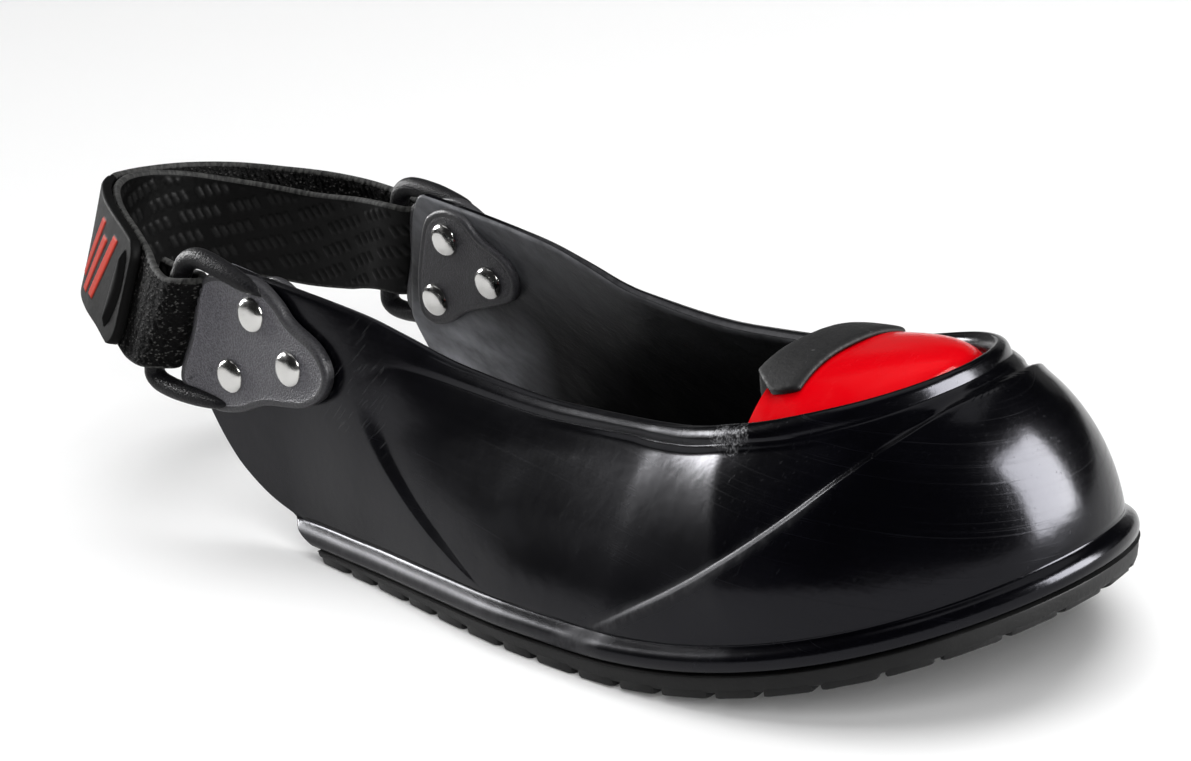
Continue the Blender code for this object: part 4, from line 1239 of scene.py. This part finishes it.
# Buckle plates with their strap loops, and the plates behind the wall
plateForm = {
    "thick": 3.2,
    "backingThick": 2.4,
    "backingGap": 0.5,
    "border": 1.8,
    "fieldShares": (0.3, 0.6, 0.85, 1.0),  # of the way to the middle, on the face and on the back
    "backShares": (1.0, 0.5, 0.1, 0.02),
    "backRound": 0.3,
    "loopLeast": 0.3,
    "outline": 280,
    "loopFacets": 24,
    "loopSteps": 10,
}
plateRows = columns(
    "x z",
    (-132.2, 74.4), (-121.0, 75.6), (-112.8, 74.6), (-106.0, 70.2), (-101.0, 65.4), (-91.5, 60.2),
    (-87.2, 54.0), (-89.6, 47.8), (-96.5, 43.8), (-104.0, 42.4), (-114.0, 41.2), (-125.0, 37.6),
    (-136.0, 37.2), (-147.4, 43.6), (-140.9, 58.0), (-136.6, 69.8),
)
backingRows = columns(
    "x z",
    (-123.8, 69.8), (-119.6, 72.8), (-113.0, 73.8), (-106.6, 71.2), (-101.4, 65.0), (-94.2, 59.6),
    (-91.8, 53.0), (-95.4, 47.2), (-104.0, 45.2), (-115.0, 43.6), (-123.4, 40.4), (-130.4, 39.8),
    (-134.8, 43.6), (-133.2, 52.4), (-128.6, 62.0),
)
loopRows = columns(
    "x z out radius",
    (-110.6, 71.4, 2.6, 0.5), (-113.4, 72.8, 2.9, 1.6), (-118.5, 74.4, 3.0, 2.3), (-126.0, 76.8, 3.0, 2.7),
    (-134.6, 78.6, 2.9, 2.8), (-139.8, 77.2, 2.9, 2.8), (-142.6, 73.6, 2.9, 2.8), (-147.8, 64.4, 2.9, 2.8),
    (-153.0, 55.0, 2.9, 2.8), (-158.2, 45.8, 2.9, 2.8), (-157.4, 42.4, 2.9, 2.8), (-152.4, 40.7, 2.9, 2.8),
    (-145.2, 39.9, 2.9, 2.7), (-138.0, 39.4, 2.9, 2.3), (-132.4, 39.1, 2.8, 1.6), (-129.4, 39.2, 2.5, 0.5),
)
rivetRows = columns("x z", (-115.6, 65.6), (-102.2, 53.0), (-126.4, 47.6))
plateSets = {
    "right": {"side": -1.0, "turn": 0.0, "x": 0.0, "z": 0.0},
    "left": {"side": 1.0, "turn": 7.5, "x": -1.5, "z": 0.4},
}
plateProfile = columns(
    "inset out",  # from the edge inwards, and out from the plate's face
    (0.0, -1.2), (0.1, -0.6), (0.4, -0.18), (0.9, 0.02), (1.4, 0.04), (1.9, -0.08), (2.3, -0.22),
    (2.8, -0.28), (4.6, -0.28),
)
backingProfile = columns(
    "inset out",
    (0.0, -1.1), (0.15, -0.5), (0.6, -0.1), (1.2, 0.02), (1.6, -0.16), (1.9, -0.17), (2.3, -0.02),
    (2.8, 0.0), (4.6, 0.0),
)


# Stations and heights of a table, turned with its set about the rivets' middle
def setPlace(rows, name):
    place = plateSets[name]
    turn = math.radians(place["turn"])
    midX, midZ = rivetRows["x"].mean(), rivetRows["z"].mean()
    x, z = rows["x"] - midX, rows["z"] - midZ
    return (x * math.cos(turn) - z * math.sin(turn) + midX + place["x"],
            x * math.sin(turn) + z * math.cos(turn) + midZ + place["z"])


# Plate: rings of its outline drawn in by the profile's insets, then shrunk to its middle, on both faces
def platePoints(rows, name, low, high, profile):
    form = plateForm
    outline = np.column_stack(setPlace(rows, name))
    edge = routeAt(outline, np.arange(form["outline"]) * len(outline) / form["outline"], closed=True)
    hub = edge.mean(axis=0)
    run = unit(np.roll(edge, -1, axis=0) - np.roll(edge, 1, axis=0))
    inward = np.column_stack((-run[:, 1], run[:, 0]))
    inward = inward * np.sign(np.sum(inward * (hub - edge), axis=1).mean())
    sign = np.sign(high)
    border = edge[None] + inward[None] * profile["inset"][:, None, None]
    outs = high + sign * profile["out"]
    field, back = (np.array(form[key])[:, None, None] for key in ("fieldShares", "backShares"))
    face = border[-1:] * (1.0 - field) + hub * field
    rings = np.concatenate((edge[None] * (1.0 - back) + hub * back, edge[None], border, face))
    backOuts = np.append(np.full(len(back), low), low + sign * form["backRound"])
    outs = np.concatenate((backOuts, outs, np.full(len(field), outs[-1])))
    points = onSide(rings[..., 0], rings[..., 1], outs[:, None], plateSets[name]["side"])
    count, size = points.shape[:2]
    borderRow = len(back) + 1 + np.searchsorted(profile["inset"], form["border"])
    return points.reshape(-1, 3), gridFaces(count, size), borderRow


# Round bar along a path, with its radius at each point
def tubePoints(path, radii, facets):
    run = unit(np.gradient(path, axis=0))
    side = unit(np.cross(run, np.array((0.0, 1.0, 0.0))))
    lift = np.cross(side, run)
    turn = circle(facets)
    ring = np.cos(turn)[None, :, None] * side[:, None, :] + np.sin(turn)[None, :, None] * lift[:, None, :]
    points = path[:, None, :] + radii[:, None, None] * ring
    return points.reshape(-1, 3), gridFaces(len(path), facets)


# One side's plates, on the skin's outside and behind the wall; the loop is a bar along a Catmull-Rom curve
def makePlates(name, field, rim, rod, back):
    form = plateForm
    gap = last["gap"]
    points, faces, fieldRow = platePoints(plateRows, name, gap, gap + form["thick"], plateProfile)
    x, z = setPlace(loopRows, name)
    keys = np.column_stack((x, z, loopRows["out"] + gap, loopRows["radius"]))
    loop = routeAt(keys, np.linspace(0.0, len(keys) - 1.0, form["loopSteps"] * (len(keys) - 1) + 1))
    path = onSide(loop[:, 0], loop[:, 1], loop[:, 2], plateSets[name]["side"])
    radii = np.concatenate(([0.0], np.maximum(loop[1:-1, 3], form["loopLeast"]), [0.0]))
    bar = tubePoints(path, radii, form["loopFacets"])
    smooth = np.arange(len(faces)) // form["outline"] < fieldRow
    finishOf = np.concatenate((smooth.astype(int), np.full(len(bar[1]), 2)))
    points, faces = joinGrids(((points, faces), bar))
    addPiece("buckle_plate_" + name + "_moulding", points, faces, (field, rim, rod), ["buckle_plate_" + name],
             finishOf=finishOf, merge=fineWeld, sharp=60.0)
    deep = -last["wall"] - form["backingGap"]
    deeper = deep - form["backingThick"]
    points, faces, fieldRow = platePoints(backingRows, name, deep, deeper, backingProfile)
    smooth = np.arange(len(faces)) // form["outline"] < fieldRow
    addPiece("backing_plate_" + name + "_moulding", points, faces, (back, rim), ["backing_plate_" + name],
             finishOf=smooth.astype(int), merge=fineWeld, sharp=60.0)


# Rivets: a dome over a thin flange at each end of a shank, turned about the wall's normal
rivetForm = {
    "head": 4.8,
    "dome": 2.1,
    "shank": 1.6,
    "sink": 0.32,  # of the outer head below the plate's rim
    "stand": 0.02,  # of the inner head off the backing plate
    "domeSteps": 3,
    "facets": 56,
}
domeRows = columns(
    "rise share",
    (1.0, 0.0), (0.995, 0.15), (0.97, 0.36), (0.9, 0.57), (0.77, 0.75), (0.58, 0.885), (0.37, 0.96),
    (0.18, 0.995), (0.07, 1.0), (0.0, 0.985),
)


def makeRivets(name, steel):
    side = plateSets[name]["side"]
    form = rivetForm
    top = last["gap"] + plateForm["thick"] - form["sink"]
    bottom = -last["wall"] - plateForm["backingGap"] - plateForm["backingThick"] - form["stand"]
    keys = np.column_stack((domeRows["rise"] * form["dome"], domeRows["share"] * form["head"]))
    dome = routeAt(keys, np.linspace(0.0, len(keys) - 1.0, form["domeSteps"] * (len(keys) - 1) + 1))
    shank = np.array(((top, form["shank"]), (bottom, form["shank"])))
    heights = np.concatenate((top + dome[:, 0], shank[:, 0], bottom - dome[::-1, 0]))
    radii = np.concatenate((dome[:, 1], shank[:, 1], dome[::-1, 1]))
    turn = circle(form["facets"])
    step = 1.0  # for the wall's normal
    for k, (x, z) in enumerate(zip(*setPlace(rivetRows, name))):
        alongX = onSide(x + step, z, 0.0, side) - onSide(x - step, z, 0.0, side)
        alongZ = onSide(x, z + step, 0.0, side) - onSide(x, z - step, 0.0, side)
        axis = unit(np.cross(alongX, alongZ))
        axis = axis * np.sign(axis[1]) * side
        first = unit(np.cross(axis, np.array((1.0, 0.0, 0.0))))
        second = np.cross(axis, first)
        ring = np.cos(turn)[:, None] * first + np.sin(turn)[:, None] * second
        points = onSide(x, z, 0.0, side) + axis * heights[:, None, None] + radii[:, None, None] * ring
        node = f"rivet_{name}_{k + 1}"
        addPiece(node + "_domed", points.reshape(-1, 3), gridFaces(len(heights), form["facets"]), (steel,),
                 [node], merge=poleWeld, sharp=60.0)


# Heel strap: one band through both loops, rubber on one face and loop pile on the other
strapForm = {
    "width": 30.0,
    "thick": 2.2,
    "steps": 1050,
    "rubberRows": 46,
    "pileRows": 30,
    "edgeRows": 5,
    "markLean": 20.0,
    "markPitch": 6.6,
    "markTall": 3.3,
    "markWidth": 1.5,
    "markStep": 2.6,
    "markHeight": 0.36,
    "markSlant": 0.35,
    "markSoft": 0.5,
    "markShift": 9.0,  # from one row to the next
    "markGroup": 11.0,  # places, of which the gaps stay empty
    "markGaps": (5.0, 10.0),
    "markInset": 1.2,
    "markFade": 1.0,
    "pileRow": 2.2,
    "pileLoop": 1.9,
    "rowSway": (1.6, 1.1),  # how far and how fast the other direction sways it
    "loopSway": (1.3, 0.8),
    "pileDepth": 0.3,
    "frameStep": 0.02,
    "samples": 4000,
}
strapRows = np.array((
    (-162.5, -38.2, 61.2, 0.43, 0.20), (-157.0, -38.0, 60.6, 0.47, 0.12), (-150.0, -37.8, 60.2, 0.51, 0.08),
    (-143.9, -39.2, 60.5, 0.52, 0.08), (-141.4, -42.3, 60.2, 0.53, 0.08), (-143.9, -45.4, 60.6, 0.53, 0.08),
    (-150.2, -46.9, 60.6, 0.52, 0.10), (-157.6, -45.0, 61.7, 0.46, 0.18), (-164.8, -41.6, 63.8, 0.36, 0.28),
    (-174.1, -37.5, 66.6, 0.30, 0.31), (-183.6, -33.5, 69.0, 0.30, 0.31), (-193.1, -28.0, 70.6, 0.30, 0.27),
    (-202.2, -20.0, 71.7, 0.26, 0.20), (-208.6, -10.3, 71.1, 0.21, 0.18), (-211.0, 0.0, 69.3, 0.20, 0.22),
    (-209.0, 10.7, 66.4, 0.23, 0.22), (-203.0, 20.7, 62.9, 0.26, 0.16), (-193.0, 29.2, 59.8, 0.24, 0.07),
    (-180.0, 35.6, 57.0, 0.20, 0.02), (-166.0, 38.2, 56.8, 0.24, 0.00), (-158.5, 38.3, 57.3, 0.31, -0.05),
    (-151.3, 37.9, 57.6, 0.36, -0.08), (-145.7, 39.2, 56.8, 0.36, -0.08), (-143.3, 42.4, 56.4, 0.36, -0.08),
    (-145.7, 45.6, 56.9, 0.36, -0.08), (-151.5, 47.0, 58.0, 0.36, -0.08), (-159.5, 47.2, 58.8, 0.33, -0.05),
    (-169.5, 45.4, 60.2, 0.29, 0.01), (-181.5, 41.4, 61.9, 0.26, 0.06), (-194.0, 34.8, 63.7, 0.26, 0.12),
    (-205.0, 25.4, 66.1, 0.25, 0.18), (-212.0, 13.0, 68.4, 0.23, 0.22), (-214.2, 0.1, 70.2, 0.21, 0.22),
    (-211.6, -11.6, 71.9, 0.22, 0.18), (-209.4, -15.9, 72.4, 0.24, 0.19),
))  # x, y, z of the centre line, then the slant of the width in x and in y


# Frame of the strap at places along its rows: centre, width direction and face direction
def strapFrame(at):
    curve = routeAt(strapRows, at)
    centre = curve[:, :3]
    wide = unit(np.column_stack((curve[:, 3:], np.ones(len(at)))))
    step = strapForm["frameStep"]
    ahead = routeAt(strapRows, np.minimum(at + step, len(strapRows) - 1.0))[:, :3]
    behind = routeAt(strapRows, np.maximum(at - step, 0.0))[:, :3]
    face = unit(np.cross(unit(ahead - behind), wide))
    return centre, wide, face


def runLength(points):
    return np.concatenate(([0.0], np.cumsum(np.linalg.norm(np.diff(points, axis=0), axis=1))))


# Raised marks: slanting rows of short upright bars in groups of five and four
def strapMarks(length, across):
    form = strapForm
    lean = math.radians(form["markLean"])
    p = length * math.cos(lean) + across * math.sin(lean)
    q = across * math.cos(lean) - length * math.sin(lean)
    row = np.floor(q / form["markPitch"])
    fromRow = np.abs(q - (row + 0.5) * form["markPitch"])
    tall = softStep(form["markTall"] / 2.0 - fromRow, form["markSoft"])
    p = p + row * form["markShift"] + form["markSlant"] * (q - row * form["markPitch"])
    place = np.floor(p / form["markStep"])
    fromMark = np.abs(p - (place + 0.5) * form["markStep"])
    shown = ~np.isin(np.mod(place, form["markGroup"]), form["markGaps"])
    return tall * softStep(form["markWidth"] / 2.0 - fromMark, form["markSoft"]) * shown


# Band: a flat section with round edges carried along the route; marks rise on the rubber face, and
# the pile face is a product of two sine rows, each swayed by the other
def makeStrap():
    form = strapForm
    fine = np.linspace(0.0, len(strapRows) - 1.0, form["samples"])
    run = runLength(strapFrame(fine)[0])
    length = np.linspace(0.0, run[-1], form["steps"])[:, None]
    centre, wide, face = strapFrame(np.interp(length[:, 0], run, fine))
    half, thick = form["width"] / 2.0, form["thick"] / 2.0
    flat = half - thick
    turn = (np.arange(form["edgeRows"]) + 1.0) / (form["edgeRows"] + 1.0) * math.pi
    rubber = np.linspace(-flat, flat, form["rubberRows"])
    pile = np.linspace(flat, -flat, form["pileRows"])
    across = np.concatenate((rubber, flat + thick * np.sin(turn), pile, -flat - thick * np.sin(turn)))
    out = np.concatenate((np.full(len(rubber), thick), thick * np.cos(turn),
                          np.full(len(pile), -thick), -thick * np.cos(turn)))
    kind = np.repeat((0, 2, 1, 2), (len(rubber), len(turn), len(pile), len(turn)))
    inset = softStep(flat - form["markInset"] - np.abs(across), form["markFade"])
    marks = strapMarks(length, across[None, :]) * (kind == 0) * inset
    full = 2.0 * math.pi
    sway, rate = form["rowSway"]
    rows = np.sin(full * length / form["pileRow"] + sway * np.sin(across * rate))
    sway, rate = form["loopSway"]
    loops = np.sin(full * across / form["pileLoop"] + sway * np.sin(length * rate))
    out = out[None, :] + marks * form["markHeight"] - (kind == 1) * rows * loops * form["pileDepth"]
    points = centre[:, None] + wide[:, None] * across[None, :, None] + face[:, None] * out[..., None]
    count, size = points.shape[:2]
    uv = np.stack(np.broadcast_arrays(length, across[None, :]), axis=-1).reshape(-1, 2)
    finishOf = np.tile(np.where(kind == np.roll(kind, -1), kind, 2), count - 1)
    addPiece("heel_strap_band", points.reshape(-1, 3), gridFaces(count, size),
             (makeStrapRubber(), makePile(), makeStrapEdge()), ["heel_strap"],
             caps=endCaps(count, size), finishOf=finishOf, uv=uv, values={"marks": marks})


# Pull tab outside the strap: a slanted round end, a lens-shaped thumb ridge, plain red bars
tabForm = {
    "thick": 3.0,
    "fromRow": 7.0,
    "toRow": 12.5,
    "begin": 5.6,
    "slant": 3.1,
    "corners": (8.5, 4.5),
    "ridge": 1.5,
    "ridgePlace": 12.0,
    "ridgeBow": 1.2,
    "ridgeWidth": 2.7,
    "ridgeReach": 0.8,
    "ridgeLeast": 0.05,
    "ridgePower": 0.7,
    "ridgeFull": 1.2,  # width from which the ridge has its full height
    "moat": 0.22,
    "moatPlace": 1.25,
    "moatReach": 0.22,
    "moatLeast": 0.3,
    "edge": 0.9,
    "innerEdge": 0.4,
    "steps": 170,
    "rows": 90,
    "samples": 800,
    "barHeight": 0.35,
    "barSlant": 0.35,
    "barSoft": 0.4,
    "bars": ((23.0, 3.4, -10.0, 10.5), (29.0, 3.4, -11.0, 7.5), (35.0, 3.4, -8.0, 11.0)),
}  # a bar is its place, its width, and its two ends across the tab


# The end's edge is a slanted line with a circle at each corner; the ridge is a power of one minus the
# square of the distance from its middle line, over a width that narrows as a parabola, and a shallow moat
# runs round it as a bell curve
def makeTab():
    form = tabForm
    off = strapForm["thick"] / 2.0 + last["gap"] + form["thick"] / 2.0
    fine = np.linspace(form["fromRow"], form["toRow"], form["samples"])
    centre, wide, face = strapFrame(fine)
    run = runLength(centre - face * off)
    half = strapForm["width"] / 2.0
    across = np.sin(np.linspace(-0.5, 0.5, form["rows"]) * math.pi)
    y = across * half
    corner = np.where(across < 0.0, *form["corners"])
    near = np.clip(np.abs(y) - half + corner, 0.0, corner)
    begin = form["begin"] + form["slant"] * across + corner - np.sqrt(corner ** 2 - near ** 2)
    t = np.linspace(0.0, 1.0, form["steps"])[:, None]
    place = begin + (run[-1] - begin) * t
    centre, wide, face = strapFrame(np.interp(place.ravel(), run, fine))
    centre = centre - face * off
    inset = np.minimum(half - np.abs(y), np.minimum(place - begin, run[-1] - place))
    drop = form["edge"] * (1.0 - np.sqrt(1.0 - (1.0 - np.clip(inset / form["edge"], 0.0, 1.0)) ** 2))
    lens = form["ridgeWidth"] * (1.0 - (across / form["ridgeReach"]) ** 2)
    lens = np.maximum(lens, form["ridgeLeast"])
    away = (place - form["ridgePlace"] - form["ridgeBow"] * across ** 2) / lens
    ridge = form["ridge"] * np.maximum(1.0 - away ** 2, 0.0) ** form["ridgePower"]
    ridge = ridge * np.minimum(lens / form["ridgeFull"], 1.0)
    bell = np.exp(-((np.abs(away) - form["moatPlace"]) / form["moatReach"]) ** 2)
    moat = -form["moat"] * bell * (lens > form["moatLeast"])
    slant = place + form["barSlant"] * y
    soft = form["barSoft"]
    bars = np.zeros_like(slant)
    for start, wideBar, low, high in form["bars"]:
        inBar = softStep(wideBar / 2.0 - np.abs(slant - start - wideBar / 2.0), soft)
        bars = np.maximum(bars, inBar * softStep(y - low, soft) * softStep(high - y, soft))
    raised = ridge + moat + bars * form["barHeight"]
    spot = centre + wide * np.broadcast_to(y, place.shape).reshape(-1, 1)
    outer = spot - face * (form["thick"] / 2.0 + raised - drop).reshape(-1, 1)
    inner = spot + face * (form["thick"] / 2.0 - form["innerEdge"] * drop).reshape(-1, 1)
    outer, inner = (side.reshape(*place.shape, 3) for side in (outer, inner))
    rings = np.concatenate((outer, inner[:, ::-1]), axis=1)
    count, size = rings.shape[:2]
    marks = np.concatenate((bars, np.zeros_like(bars)), axis=1)
    start = foldFaces(size)
    stop = start[:, ::-1] + (count - 1) * size
    faces = np.concatenate((gridFaces(count, size), start, stop))
    addPiece("pull_tab_moulding", rings.reshape(-1, 3), faces, (makeTabRubber(),), ["pull_tab"],
             values={"marks": marks}, sharp=60.0)


makeUpper()
makeOutsole()
makeCap()
makeEdgingStrip()
nylons = [makeNylon(name) for name in nylonLook]
steel = makeSteel()
for setName in plateSets:
    makePlates(setName, *nylons)
    makeRivets(setName, steel)
makeStrap()
makeTab()
print("pieces made")

# Studio: pale floor, soft boxes and a dim room
studio = {
    "floorSize": 9.0,
    "floorColour": (0.93, 0.93, 0.93),
    "floorRough": 0.8,
    "room": 0.02,
    "aim": (0.04, 0.0, 0.04),
}
# Soft boxes as seen from the aim point: direction and distance, angles covered and brightness; some
# light the colours and the floor, and the others show only in gloss
boxKeys = ("turn", "lift", "away", "wide", "tall", "bright", "gloss")
boxRows = {
    "key": (95.0, 60.0, 3.4, 52.0, 52.0, 1.0, False),
    "top": (20.0, 86.0, 3.8, 50.0, 50.0, 3.0, False),
    "fill": (-45.0, 32.0, 2.4, 50.0, 40.0, 4.2, False),
    "right": (22.0, 23.0, 2.2, 38.0, 44.0, 37.0, True),
    "left": (-172.0, 20.0, 2.2, 20.0, 26.0, 44.0, True),
    "back": (132.0, 9.0, 3.0, 70.0, 18.0, 0.15, True),
    "sky": (128.0, 70.0, 2.4, 50.0, 44.0, 0.9, True),
}


# Area light: width and height are twice the distance times the tangent of half the angle
def makeBox(name):
    row = dict(zip(boxKeys, boxRows[name]))
    aim = np.array(studio["aim"])
    turn, lift = math.radians(row["turn"]), math.radians(row["lift"])
    back = np.array((math.cos(turn) * math.cos(lift), math.sin(turn) * math.cos(lift), math.sin(lift)))
    data = bpy.data.lights.new(name, "AREA")
    data.shape = "RECTANGLE"
    data.size = 2.0 * row["away"] * math.tan(math.radians(row["wide"]) / 2.0)
    data.size_y = 2.0 * row["away"] * math.tan(math.radians(row["tall"]) / 2.0)
    data.energy = row["bright"] * math.pi * data.size * data.size_y
    light = bpy.data.objects.new(name, data)
    bpy.context.scene.collection.objects.link(light)
    right = unit(np.cross((0.0, 0.0, 1.0), back))
    place = np.identity(4)
    place[:3, :] = np.column_stack((right, np.cross(back, right), back, aim + back * row["away"]))
    light.matrix_world = Matrix(place.tolist())
    light.visible_diffuse = not row["gloss"]
    light.visible_glossy = row["gloss"]


def makeStudio():
    half = studio["floorSize"] / 2.0
    corners = [(-half, -half, 0.0), (half, -half, 0.0), (half, half, 0.0), (-half, half, 0.0)]
    mesh = bpy.data.meshes.new("floor")
    mesh.from_pydata(corners, [], [(0, 1, 2, 3)])
    finish = newFinish("pale floor", studio["floorColour"], studio["floorRough"], specular=0.0)
    mesh.materials.append(finish[0])
    floor = bpy.data.objects.new("floor", mesh)
    bpy.context.scene.collection.objects.link(floor)
    world = bpy.data.worlds.new("room")
    world.use_nodes = True
    world.node_tree.nodes["Background"].inputs["Color"].default_value = (1.0, 1.0, 1.0, 1.0)
    world.node_tree.nodes["Background"].inputs["Strength"].default_value = studio["room"]
    bpy.context.scene.world = world
    for name in boxRows:
        makeBox(name)
    bpy.context.scene.view_settings.view_transform = "Standard"


makeStudio()
print("studio set")
